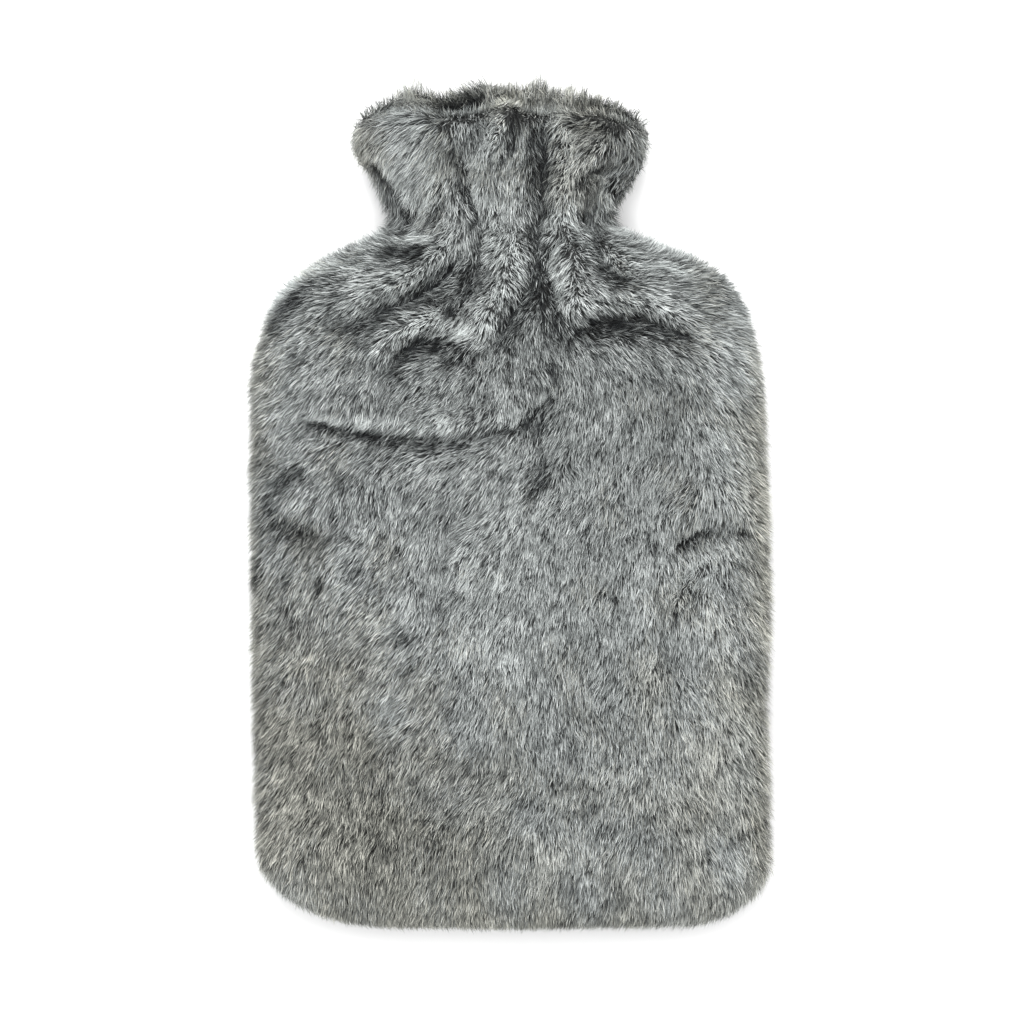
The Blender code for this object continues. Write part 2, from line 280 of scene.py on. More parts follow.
FRONT_FOLDS = table(
    Fold,
    # pleats of the collar
    (14.5, 156, 12.5, 108, 0.8, 5.5, 5.5, 0), (-54.5, 135, -43.5, 111, 0.3, 3, 3.6, 0),
    (-20, 142, -15.5, 118, 1.5, 4, 4.4, 0), (-10.8, 117, -11.5, 91, 0, 4, 4.4, 0),
    (50, 142, 31, 108, -2, 3.8, 6, -1.5), (27, 151, 43, 151.5, 0, 2.4, 4.4, 0),
    (28.4, 130, 47.5, 138.3, 1.5, 1.6, 3.4, 1), (-1, 166, -5, 140, 1.5, -2.8, 4.8, 0),
    # the gather runs on over the shoulders
    (-46, 106, -33, 105.5, 0, 2.8, 4, 0), (-16.5, 104.5, -68, 74.5, 7.3, 5.2, 6.4, -2.2),
    (12.5, 112, -5, 66, 3, 5, 5, -2.6), (18.8, 106, 21, 80, -1.7, 4.4, 4.4, 2.6),
    (35, 103, 44.5, 91, 0, 3, 4.4, 0), (19, 66.5, 71, 68.5, 8, 6, 5.6, 3.2),
    (-22, 66.5, -50, 53.5, -4.4, 4.2, 4.8, -2.8),
    # creases across the chest and the waist
    (-81, 34, -12, 25.5, -3.8, 3.4, 4.3, 1.8), (-12, 25.5, 17.5, 48, -3.2, 1.8, 4.6, 0.9),
    (10, 40, 14, 8, 1.5, 2, 5.4, 0), (-99, -4, -66, -11.5, -1, 2.8, 6, 1.2),
    (65, -16.5, 99, -8, 2, 2.8, 6, 1.6), (-20, 3, -29, -49, -1.5, 1.8, 6, 0),
    (60, -59, 77, -65.5, 1, 1.7, 6, 0), (83, -22, 67, -38, -2, 1.7, 6, 1),
    (-46, -79, -67, -110, 0, 1.6, 7, 0),
    # thin ridges of pile beside the creases
    (24, 78.2, 71, 75, 4.6, -2.6, 2.5, 0), (67.8, -42, 86, -20.4, 3, -1.8, 2.3, 0),
    (-70, 35.2, 6, 37.6, -4.6, -1.2, 2.4, 0),
)

BACK_FOLDS = table(
    Fold,
    (-36, 152, -29, 98, 0, 2.8, 5, 0), (-9, 158, -7, 94, 0, 3.2, 5.5, 0),
    (19, 155, 15, 97, 0, 2.8, 5, 0), (42, 146, 35, 100, 0, 2.2, 4.5, 0),
)

FRONT_CREASES = (
    # collar
    Crease(((-3.5, 141, 0.5), (-1, 147, 0.9), (0.5, 156, 1), (4.5, 162, 0.9)), half=1.6, spread=2),
    Crease(
        ((11, 157, 0.4), (13.5, 150, 0.8), (14.5, 143, 1), (14.5, 136, 1), (14.5, 129, 0.9),
         (15, 121, 0.9), (11.5, 112, 0.7), (9, 106, 0.4)),
        lie=1, half=3, lip_away=7.5, lip_half=3.2, spread=7,
    ),
    Crease(
        ((-19, 142, 0.5), (-20, 132, 0.9), (-18, 122, 0.9), (-11, 113, 0.8), (-10, 101, 0.5)),
        lie=1, half=1.8, lip_away=6, lip_half=2.6, spread=4,
    ),
    Crease(
        ((-58, 140, 0.5), (-53, 131, 0.9), (-44, 116, 0.9), (-41, 112, 0.6)),
        lie=1, half=1.3, spread=1.4,
    ),
    Crease(
        ((43, 135.5, 0.6), (39, 136.7, 0.9), (31, 134, 0.9), (28.5, 129, 0.7)),
        lie=1, half=1.3, spread=1.2,
    ),
    Crease(
        ((36, 103, 0.5), (31, 112, 0.9), (28.5, 119, 0.7)),
        half=1.9, lip_away=6.5, lip_half=3.5, spread=4,
    ),
    Crease(((46.5, 121, 0.4), (45.5, 128, 0.7), (44, 134, 0.4)), half=1.4, spread=1.8),
    Crease(((-34, 113, 0.3), (-29.5, 122, 0.6), (-29, 130, 0.4)), half=1.2),
    # shoulders
    Crease(
        ((18, 107, 0.5), (16.8, 96, 0.9), (17, 86, 0.9), (20, 77.5, 0.7), (25, 75, 0.6),
         (30.5, 76, 0.9), (36, 76.8, 1), (42, 77.2, 1), (48, 77.2, 0.9), (54, 77.2, 1),
         (58, 75.4, 0.9), (62, 73.7, 1), (66, 72.2, 0.8), (72, 69.4, 0.4)),
        lie=1, half=1.7, lip_away=3, lip_half=1.4, spread=7, under=1.6,
    ),
    ridge(
        ((24, 92, 0.5), (25, 84, 0.7), (25, 78.5, 0.8), (30, 79.4, 1), (36, 80.2, 1),
         (43, 80.8, 1), (50, 81.2, 1), (56, 80.6, 1), (61, 78.6, 1), (66, 76.6, 0.8),
         (71, 75, 0.5)),
        1, 1.7,
    ),
    Crease(
        ((-6, 66, 0.5), (-3, 75, 0.9), (1.5, 82, 1), (6, 90, 1), (7.5, 102, 0.9), (8, 108, 0.6)),
        half=2.6, lip_away=5.4, lip_half=2.6, spread=6, under=1.25,
    ),
    Crease(
        ((-64, 72, 0.4), (-56, 77.5, 0.7), (-45, 83, 0.9), (-37, 87, 1), (-31, 91, 1),
         (-26, 96, 0.9), (-20, 102, 0.6)),
        half=2.8, lip_away=7, lip_half=2.8, spread=7, under=1.5,
    ),
    Crease(
        ((-24, 78, 0.6), (-19, 85, 0.9), (-16, 90, 1), (-13, 98, 0.8)),
        half=1.9, lip_away=6, lip_half=2.6, spread=5, under=1.3,
    ),
    Crease(
        ((-48, 57, 0.7), (-41, 65, 1), (-34, 68.2, 1), (-28, 68, 0.9), (-21, 65, 0.7),
         (-13, 60, 0.4)),
        half=2.1, lip_away=5.4, lip_half=2.6, spread=6, under=1.4,
    ),
    Crease(((-35, 63, 0.7), (-30, 65, 0.9), (-24, 63.5, 0.7), (-19, 58, 0.5)), lip_share=0),
    Crease(
        ((35, 103, 0.8), (39, 97, 1), (44, 91, 0.6)),
        lie=1, half=1.9, lip_away=5, spread=5.5, under=1.4,
    ),
    Crease(
        ((10.5, 104, 0.4), (12.5, 96, 0.6), (12, 86, 0.4)),
        lie=1, half=1, lip_away=2.6, lip_half=1.2,
    ),
    Crease(
        ((-49, 102, 0.5), (-41, 104, 0.9), (-33, 103, 0.6)),
        half=2.2, lip_away=5, spread=5, under=1.3,
    ),
    Crease(
        ((-97, 73, 0.4), (-91, 82, 0.8), (-83, 88, 0.9), (-74, 91.5, 0.7), (-66, 93, 0.3)),
        half=2.2, lip_away=5.5, lip_half=2.6, spread=4.5,
    ),
    Crease(((58, 94, 0.4), (64, 93, 0.6), (71, 90, 0.4)), lie=1, half=1.4),
    Crease(((14, 60, 0.4), (17.5, 55, 0.6), (16, 49, 0.4)), lie=1, half=1.8, lip_share=0),
    # creases across the chest and the waist
    Crease(
        ((-81, 34, 0.7), (-77, 33.6, 1), (-73, 32.4, 1), (-69, 32.4, 0.8), (-66, 31.8, 0.5),
         (-62, 31.3, 1), (-58, 30.9, 1), (-55, 30, 0.7), (-50, 29.3, 0.5), (-46, 28.9, 0.5),
         (-40, 29.4, 0.4), (-30, 29.2, 0.3), (-18, 29.4, 0.3), (-9, 30.4, 0.3), (-2, 31, 0.5),
         (3, 32.4, 0.8), (7, 35.5, 0.6), (9.5, 38.5, 0.8), (12.5, 40.4, 0.9), (16.5, 44, 0.7)),
        half=1.1, lip_away=2.6, lip_half=1.7, spread=3.4, under=0.5,
    ),
    ridge(
        ((-60, 33.4, 0.5), (-52, 31.8, 0.8), (-44, 31, 0.8), (-34, 31.2, 0.7), (-22, 31.2, 0.7),
         (-10, 31.8, 0.7), (0, 34.2, 0.9), (8, 39.6, 0.8)),
        -1, 1.4,
    ),
    Crease(((15.5, 23, 0.3), (15.2, 15, 0.9), (13.5, 9, 0.6), (8, 5, 0.3)), half=1.8, lip_share=0),
    Crease(
        ((65.5, -17, 0.5), (70, -14.9, 0.9), (73.4, -12, 1), (77.3, -9.7, 0.9), (80, -8.7, 0.5),
         (85, -9.3, 0.25), (91, -9.6, 0.2), (96, -9.2, 0.4), (100, -11.4, 0.3)),
        half=1, lip_away=2.4, lip_half=1.4, spread=2.4, under=0.7,
    ),
    Crease(
        ((75.8, -42, 0.3), (73.4, -37.5, 0.8), (74.2, -34.6, 0.8), (78, -31, 0.2)),
        half=1.1, lip_share=0, spread=2.4, under=0.6,
    ),
    ridge(
        ((67.8, -42, 0.5), (68.4, -37.7, 0.9), (71.1, -33.1, 1), (75.7, -28.6, 1),
         (81.4, -24, 0.9), (86, -20.4, 0.5)),
        -1, 1.7,
    ),
    Crease(
        ((-101, -4, 0.3), (-92, -6, 0.5), (-84, -9, 0.5), (-74, -11, 0.3)),
        half=2.6, spread=6, lip_share=0, dark=0.4, under=0.8, cut=0.5,
    ),
    Crease(((-95, 9, 0.4), (-91, 12, 0.5), (-88, 17, 0.3)), half=1.3, lip_share=0, cut=0.4),
    *table(
        mark,
        # collar
        (8.5, 154, 9.5, 149.5, 0.8, 0.8), (12.5, 152, 14, 147.5, 0.8, 0.8),
        (16, 150, 17.8, 146, 0.8, 0.7), (10.5, 146.5, 11.5, 142, 0.8, 0.8),
        (17.5, 143.5, 19, 139, 0.8, 0.8), (12, 139, 12.8, 134, 0.7, 0.8),
        (17.5, 136, 18, 131.5, 0.8, 0.7), (35, 161.5, 38, 160, 0.7, 1.2),
        (42, 157, 47, 155.5, 0.6, 1),
        # shoulders
        (36.5, 76, 36.5, 69, 0.9, 1.6), (41, 76, 40, 70, 0.9, 1.8), (43, 72.5, 45, 66.5, 0.7, 0.9),
        (38.8, 70, 38.2, 66.4, 0.7, 0.8), (48.5, 76, 51.5, 71, 0.7, 1.2),
        (59.5, 75, 58.5, 70, 0.7, 1.5), (62, 74, 68, 71.6, 0.9, 1.1),
        (32, 83.5, 38.5, 82, 0.5, 0.8),
        # creases across the chest and the waist
        (-47, 26.4, -43, 27.4, 0.9, 1), (-55, 24.8, -51, 23.6, 0.6, 1.1),
        (-46, 25.4, -48, 21.5, 0.5, 0.6), (-43.5, 25.5, -46, 21.5, 0.5, 0.6),
        (-38.5, 26.4, -34.5, 27.6, 0.5, 0.7), (-36, 23.4, -33, 24, 0.8, 1.1),
        (-31.5, 24.8, -26, 27.4, 0.6, 0.7), (-29.5, 23.2, -26.5, 24.6, 0.9, 1.3),
        (-20.5, 23.4, -19, 25.6, 0.9, 1), (-19, 25.8, -15.5, 27.4, 0.6, 0.7),
        (-18.8, 23.6, -17.2, 24.8, 0.8, 0.9), (-9, 23.2, -8, 25.6, 0.6, 0.7),
        (-13.8, 41.8, -12.4, 33.5, 0.5, 0.9), (6.6, 30.4, 8.4, 32.4, 0.6, 1.5),
        (13, 30.4, 13.8, 38, 0.8, 1), (11, 26.4, 11.4, 29.4, 0.4, 0.9),
        (66.9, -34, 66.6, -43, 0.7, 0.7), (87, -8.6, 87.4, -11, 0.5, 0.7),
        (84, -3.6, 84.6, -8, 0.5, 0.7), (55, -6.8, 56.6, -8.6, 0.5, 0.9),
        (58, -13.5, 58.8, -18, 0.5, 0.8), (43, -32, 43.5, -36.5, 0.5, 0.9),
        (33.5, -5, 31, -10, 0.4, 0.7), (62.5, 4.6, 69, 5.6, 0.4, 0.8),
        (92.5, -34, 93, -40, 0.4, 1), (-88.5, -7, -86, -11, 0.5, 1.4),
        (-70.5, 2, -69.5, -4, 0.5, 0.9), (-51.6, 0, -51, -1.5, 0.5, 1),
        (-43.5, -15.6, -41.5, -17.2, 0.5, 1), (-51, -20, -49.5, -21.2, 0.4, 0.9),
        (-76.5, -29.5, -76, -35, 0.5, 0.9), (-86.3, -42, -87.5, -48, 0.5, 0.8),
        (-102, -20, -103, -31, 0.5, 1.2), (-26.5, -33, -28, -41, 0.5, 0.8),
        (-40.5, -49, -41.2, -52.5, 0.4, 0.8), (-21, -2, -22.5, -8, 0.45, 1),
        (-22.8, -16, -23.8, -23, 0.45, 0.9), (-97.5, 6, -98, -4, 0.5, 1.2),
    ),
)

FRONT_LUMPS = table(
    Patch,
    (-42, 145, 1.8, 17, 12), (26, 122, 1.6, 7, 14), (-36, 74, 1.4, 18, 7), (-44, 45, 1.3, 30, 12),
    (56, 38, 1, 26, 24), (0, -30, 1.2, 22, 42), (-66, -62, -0.9, 26, 34), (66, -78, 1, 24, 30),
    (-8, -112, -0.8, 40, 20), (-46, -138, 0.8, 24, 18), (46, -132, -0.7, 22, 16),
)

FRONT_COMB = table(
    Comb,
    # collar: parted left of the middle, swirled at the right
    (-62, 153, -62, 8), (-50, 158, -70, 7), (-36, 161, -92, 7), (-24, 160, -84, 5),
    (-52, 144, -15, 9), (-37, 145, -38, 8), (-26, 145, -34, 6), (-16, 150, 14, 8),
    (-9, 153, 26, 5), (0, 155, -22, 4.5), (-3, 146, 2, 7), (9, 150, 6, 7), (20, 147, 20, 7),
    (12, 159, -50, 6), (27, 156, -78, 7), (42, 156, -60, 6), (38, 148, -38, 8), (54, 150, 20, 8),
    (-49, 131, 24, 8), (-36, 134, -30, 7), (-25, 134, -14, 7), (-13, 134, 8, 8), (8, 132, -11, 8),
    (20, 131, 8, 6), (32, 135, -62, 6), (44, 135, -66, 7), (-42, 118, 24, 8), (-27, 118, 6, 8),
    (-13, 118, 18, 7), (-3, 118, 14, 7), (8, 116, -17, 6), (19, 116, -1, 7), (31, 122, -48, 6),
    (40, 119, -22, 8), (31, 110, -14, 8),
    # shoulders: spread out from the neck
    (-60, 99, -82), (-44, 98, -76), (-26, 96, -28), (-8, 96, -12), (16, 96, 2), (31, 94, 12),
    (46, 98, 70), (66, 94, 72), (88, 84, 57), (-84, 84, -62), (-64, 80, -64), (-40, 80, -44),
    (-14, 76, -30), (8, 74, 4), (33, 84, 52, 6), (40, 80, 68), (66, 76, 62), (-94, 62, -34),
    (-64, 60, -26), (-32, 62, -62), (-8, 62, -26), (10, 62, 28), (36, 62, 14), (66, 62, 40),
    (98, 62, 38),
    # fans of pile below the creases
    (22.5, 13, 36, 6), (8, 10, -54, 6), (15, 2, -14, 6), (-68, 24, -14, 8), (-52, 22, -34, 8),
    (-38, 22, -48, 7), (-24, 21, -50, 7), (-8, 26, -34, 7), (74, -18, 42, 7), (84, -16, 28, 6),
    (77, -28, -44, 5), (83, -40, -20, 8),
    # body: down, with a drift to the left that fades to the right
    (-94, 40, -28), (-56, 46, -6), (-24, 44, -30), (22, 44, -8), (58, 44, -12), (96, 44, 20),
    (-62, 26, -45), (-24, 24, -55), (4, 18, -32), (46, 16, -20), (96, 14, 17), (-92, 2, -32),
    (-62, 4, -6), (-26, 2, -26), (8, 0, -28), (42, 0, -10), (74, -6, -32), (98, -8, 24),
    (-90, -32, -18), (-62, -36, -28), (-20, -36, -17), (24, -36, -12), (66, -36, -4),
    (98, -36, 11), (-90, -64, -14), (-44, -68, -32), (0, -64, -10), (48, -64, -10), (98, -66, 4),
    (-90, -92, -12), (-34, -92, -28), (18, -92, 2), (66, -92, -3), (-84, -122, -12),
    (-56, -122, 0), (-14, -120, -28), (36, -122, -12), (84, -122, 3), (-66, -150, -10),
    (-24, -150, -18), (0, -156, 6), (24, -152, -13), (70, -150, 0), (98, -148, 9),
)

# Warmer patches of the pile; the warm bands down the left and right edges are painted light.
WARMTHS_AND_EDGE_LIGHT = table(
    Patch,
    (-80, -100, 0.55, 34, 60), (-40, -140, 0.45, 44, 34), (0, -174, 0.6, 110, 12),
    (-107, -20, 0.7, 8, 170), (106, -20, 0.95, 10, 170), (80, -120, 0.25, 30, 50),
    (34, 145, 0.25, 24, 22), (0, 168, 0.45, 70, 10), (-62, 140, 0.3, 10, 26),
    (-10, 20, -0.3, 60, 70), (0, 95, -0.2, 70, 20),
)

# Paler and darker patches: partly the pile's own tone, partly painted light and shade, as down the
# right edge and in the collar's pleats.
TONES_AND_PAINTED_LIGHT = table(
    Patch,
    (6, 150, -0.14, 5, 8), (15, 143, -0.14, 6, 8), (25, 137, 0.02, 4, 14), (-2.5, 153, 0.1, 3, 9),
    (106, -30, 0.16, 5, 120), (0, -38, 0.06, 36, 44), (62, -90, 0.05, 30, 40),
    (-84, -60, -0.06, 22, 60), (-48, -128, -0.12, 36, 34), (-60, 54, -0.02, 34, 22),
    (80, 32, 0.12, 9, 34), (80, -24, 0.12, 9, 20), (80, -56, 0.11, 9, 15), (80, -102, 0.1, 10, 26),
    (100, -74, -0.12, 9, 12), (100, 16, -0.08, 9, 18), (-18, 126, 0.17, 9, 26),
    (2, 134, 0.09, 8, 20), (1, 98, 0.12, 8, 24), (21, 86, 0.18, 9, 12), (61, 84, 0.1, 11, 9),
    (-58, 85, -0.05, 12, 10), (-57, 142, -0.07, 8, 11), (2, 24, 0.12, 10, 13),
    (2, -12, 0.07, 26, 18), (-34, -24, 0.07, 22, 14), (-42, -82, 0.07, 20, 16),
    (40, 46, -0.06, 32, 11), (32, -84, -0.07, 20, 18), (-57, -153, -0.12, 12, 9),
    (-18, -150, -0.07, 16, 10), (40, -153, -0.08, 12, 9), (-97, -74, -0.08, 8, 10),
    (98, -30, 0.06, 12, 130), (-104, 0, -0.08, 8, 130), (0, -172, -0.11, 110, 12),
    (12, 128, -0.14, 14, 16), (-20, 146, -0.12, 9, 16), (-46, 140, -0.02, 14, 14),
    (36, 150, -0.06, 18, 8), (4, 92, 0.13, 32, 20), (-16, 80, 0.1, 9, 9), (22, 122, 0.09, 8, 10),
    (60, 27, -0.11, 12, 10), (80, 84, -0.12, 11, 9), (54, 62, 0.12, 20, 11),
    (-18, 62, 0.09, 12, 10), (62, -14, 0.07, 20, 36), (-8, -54, 0.09, 18, 11),
    (-26, 24, 0.14, 20, 9), (-46, 62, 0.09, 14, 10), (40, 102, 0.12, 10, 9), (-76, 82, 0.08, 9, 9),
)

# Painted shade in the mouth: dark patches on the back's turned-in pile under the front's rim.
MOUTH_PAINTED_SHADE = table(
    Patch,
    (-25, 161.5, -0.95, 4.6, 2.8), (-15, 164, -0.95, 4.8, 3.4), (-32, 161.5, -0.25, 5, 2.4),
    (-4, 167, -0.35, 3.2, 3.6), (9, 164, -0.3, 4, 2.4), (16.5, 164, -0.3, 2.6, 3),
    (30, 165.5, -0.32, 5, 3.2), (38, 161.5, -0.5, 5.6, 2.8), (49.5, 157.5, -0.5, 5.6, 2.8),
    (56, 153, -0.35, 3, 3), (-50, 162, -0.22, 8, 2.6),
)

EVENNESS = table(
    Patch,
    (-46, 140, 0.46, 18, 18), (44, -10, 0.15, 50, 110), (-70, -20, -0.16, 36, 90),
    (0, 96, -0.16, 60, 20), (58, 16, 0.24, 16, 18), (10, 128, -0.1, 16, 22),
)

RIM_TUFTS = table(
    Patch,
    (-39, 170, 0.8, 7, 9), (-15, 173, 0.8, 7, 8), (4, 172, 0.42, 7, 8), (12, 173, 0.7, 5, 8),
    (26, 170, 0.65, 7, 8), (56, 156, 0.45, 6, 9),
)

# Across the back's rim, and the lie of the pile inside it there.
RIM_LEANS = (
    (-66, 50), (-50, 52), (-43, 5), (-37, -50), (-26, -48), (-14, -40), (-5, -15), (4, 0), (12, 4),
    (20, -26), (26, 0), (40, 4), (50, -28), (60, -40),
)

FRONT_BANDS = table(
    Band,
    ("bottom", 0, 0.22, 2.7, 1.6), ("belly", 0.22, 0.43, 2.7, 1.6),
    ("waist", 0.43, 0.61, 2.7, 1.6), ("chest", 0.61, 0.77, 2.7, 1.6),
    ("shoulders", 0.77, 0.88, 2.7, 1.6), ("collar", 0.88, 1.012, 3.2, 1.8),
    ("hem", 1.012, 1.2, 2.8, 1.6),
)

BACK_BANDS = table(
    Band,
    ("lower", 0, 0.42, 1.1, 1.2), ("upper", 0.42, 0.86, 1.1, 1.2),
    ("collar", 0.86, 1.012, 1.9, 1.4), ("hem", 1.012, 1.2, 3, 1.7),
)


def patches(rows: tuple[Patch, ...], x: Array, y: Array, onto: Array | float = 0.0) -> Array:
    """Add up soft patches.

    Args:
        rows: the patches.
        x: places across the cover.
        y: places along it.
        onto: what they are added to.

    Returns:
        The sum at each place.
    """
    total = onto + np.zeros_like(x)
    for row in rows:
        away = ((x - row.x) / row.reach_x) ** 2 + ((y - row.y) / row.reach_y) ** 2
        total += row.amount * np.exp(-away)
    return total


def column(rows: tuple[Any, ...], name: str) -> Array:
    """Return a table's column as numbers."""
    return np.array([getattr(row, name) for row in rows], float)


def read_smoothly(knots: Array, values: Array, at: Array) -> Array:
    """Read a smooth curve through knots that never overshoots them.

    Args:
        knots: the places of the knots, rising.
        values: the curve's values there.
        at: where to read it.

    Returns:
        The curve's values at those places.
    """
    steps = np.diff(knots)
    slopes = np.diff(values) / steps
    before, after = slopes[:-1], slopes[1:]
    same_way = before * after > 0
    total = np.where(same_way, before + after, 1)
    inner = np.where(same_way, 2 * before * after / total, 0)
    tangents = np.concatenate(([slopes[0]], inner, [slopes[-1]]))
    place = np.clip(np.searchsorted(knots, at, side="right") - 1, 0, len(steps) - 1)
    step = steps[place]
    t = np.clip((at - knots[place]) / step, 0, 1)
    rest = 1 - t
    ends = values[place] * (1 + 2 * t) * rest**2 + values[place + 1] * (3 - 2 * t) * t**2
    return ends + step * (tangents[place] * t * rest**2 - tangents[place + 1] * rest * t**2)


def smooth_step(start: float, end: float, at: Array) -> Array:
    """Rise smoothly from 0 at start to 1 at end."""
    t = np.clip((at - start) / (end - start), 0, 1)
    return t * t * (3 - 2 * t)


def round_arc(t: Array, power: float = 2.0) -> Array:
    """Return the height of a rounded end: 0 at t = 0 and 1 from t = 1 on."""
    return (1 - (1 - np.clip(t, 0, 1)) ** power) ** (1 / power)


def unit(vectors: Array) -> Array:
    """Return the vectors at a length of 1."""
    return vectors / np.maximum(np.linalg.norm(vectors, axis=-1, keepdims=True), 1e-9)


def evenly(run: Array, values: Array, count: int) -> Array:
    """Read values at even steps along a line.

    Args:
        run: the lengths of the line's own steps.
        values: the values at those steps' ends.
        count: how many values to read.

    Returns:
        The values read.
    """
    along = np.concatenate(([0], np.cumsum(run)))
    return np.interp(np.linspace(0, along[-1], count), along, values)


@dataclass(frozen=True)
class CoverForm:
    """The outer form of the filled cover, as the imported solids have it."""

    flat_press: float = 1.3
    crown_end: float = 44
    crown_end_power: float = 2.2
    under_end: float = 34
    hem_roll: float = 0.24
    hem_roll_depth: float = 11
    ruffle_start: float = 117
    ruffle_end: float = 143
    fold_edge_power: float = 10
    fold_edge: float = 30
    fold_end_depth: float = 0.45
    fold_taper: float = 0.25
    ridge_away: float = 1.9
    ridge_width: float = 1.1

    def section(self, name: str, y: Array) -> Array:
        """Read a column of the sections at the heights y."""
        return read_smoothly(column(SECTIONS, "y"), column(SECTIONS, name), y)

    def side_reach(self, u: Array, y: Array) -> Array:
        """Return x where the share u of the half width is reached at height y.

        Args:
            u: shares of the half width, from -1 at the left seam to 1.
            y: heights up the cover.

        Returns:
            The places across it.
        """
        left = self.section("left", y) - self._corner_cut(LEFT_CORNER, y)
        right = self.section("right", y) - self._corner_cut(RIGHT_CORNER, y)
        return np.where(u < 0, left, right) * u

    def smooth_face(self, side: Side, u: Array, y: Array) -> Array:
        """Return a panel's outer face without its folds.

        Args:
            side: which panel.
            u: shares of the half width.
            y: row heights, before the rim's ruffle.

        Returns:
            The points, with a last axis of x, y and z.
        """
        front = side is Side.FRONT
        rise = np.abs(self.section("crown" if front else "under", y) - SEAM_Z)
        press = 0 if front else self.flat_press
        end = self.crown_end if front else self.under_end
        power = self.section("power", y)
        section = (1 - np.abs(u) ** power) ** (1 / power)
        bottom = round_arc((y - BOTTOM_Y) / end, self.crown_end_power)
        roll = 1 - self.hem_roll * (1 - round_arc((MOUTH_Y - y) / self.hem_roll_depth))
        height = SEAM_GAP / 2 + (rise + press) * bottom * roll * section
        z = np.maximum(SEAM_Z + side.value * height, 0)
        lift = self._rim_lift(side, u) * smooth_step(self.ruffle_start, self.ruffle_end, y)
        return np.stack((self.side_reach(u, y), y + lift, z), axis=-1)

    def trough(self, fold: Fold, x: Array, y: Array) -> tuple[Array, Array]:
        """Return how deep a fold's trough and how high its ridge is.

        Args:
            fold: the fold.
            x: places across the cover.
            y: places along it.

        Returns:
            The trough, from 0 to 1, and the ridge, from 0 to 1.
        """
        along_x, along_y = fold.x1 - fold.x0, fold.y1 - fold.y0
        length = math.hypot(along_x, along_y)
        along_x, along_y = along_x / length, along_y / length
        t = ((x - fold.x0) * along_x + (y - fold.y0) * along_y) / length
        bow = fold.bow * 4 * np.clip(t, 0, 1) * (1 - np.clip(t, 0, 1))
        away = ((y - fold.y0) * along_x - (x - fold.x0) * along_y - bow) / fold.half
        past = np.maximum(np.abs(t - 0.5) - 0.5, 0) * length / fold.half
        deepen = smooth_step(0, self.fold_taper, 0.5 - np.abs(t - 0.5))
        fade = np.exp(-(past**2)) * (self.fold_end_depth + (1 - self.fold_end_depth) * deepen)
        beside = (np.sign(fold.ridge) * away - self.ridge_away) / self.ridge_width
        return fade * np.exp(-(away**2)), fade * np.exp(-(beside**2))

    def folds(self, side: Side) -> tuple[Fold, ...]:
        """Return a panel's folds."""
        return FRONT_FOLDS if side is Side.FRONT else BACK_FOLDS

    def relief(self, side: Side, x: Array, y: Array, u: Array) -> Array:
        """Return how far folds and lumps move a panel's outer face out.

        Args:
            side: which panel.
            x: places across the cover.
            y: places along it.
            u: shares of the half width.

        Returns:
            The height, below zero in a trough.
        """
        height = np.zeros_like(x)
        for fold in self.folds(side):
            trough, ridge_ = self.trough(fold, x, y)
            height += abs(fold.ridge) * ridge_ - fold.depth * trough
        height = patches(FRONT_LUMPS if side is Side.FRONT else (), x, y, height)
        in_from_sides = 1 - np.abs(u) ** self.fold_edge_power
        return height * in_from_sides * smooth_step(0, self.fold_edge, y - BOTTOM_Y)

    def _corner_cut(self, corner: Corner, y: Array) -> Array:
        """Return how far a bottom corner draws the side in at the height y."""
        return corner.reach * (1 - round_arc((y - BOTTOM_Y) / corner.rise))

    def _rim_lift(self, side: Side, u: Array) -> Array:
        """Return how far a panel's rim stands above the mouth's corners."""
        x = self.side_reach(u, np.full_like(u, MOUTH_Y))
        return read_smoothly(column(RIMS, "x"), column(RIMS, side.name.lower()), x) - MOUTH_Y


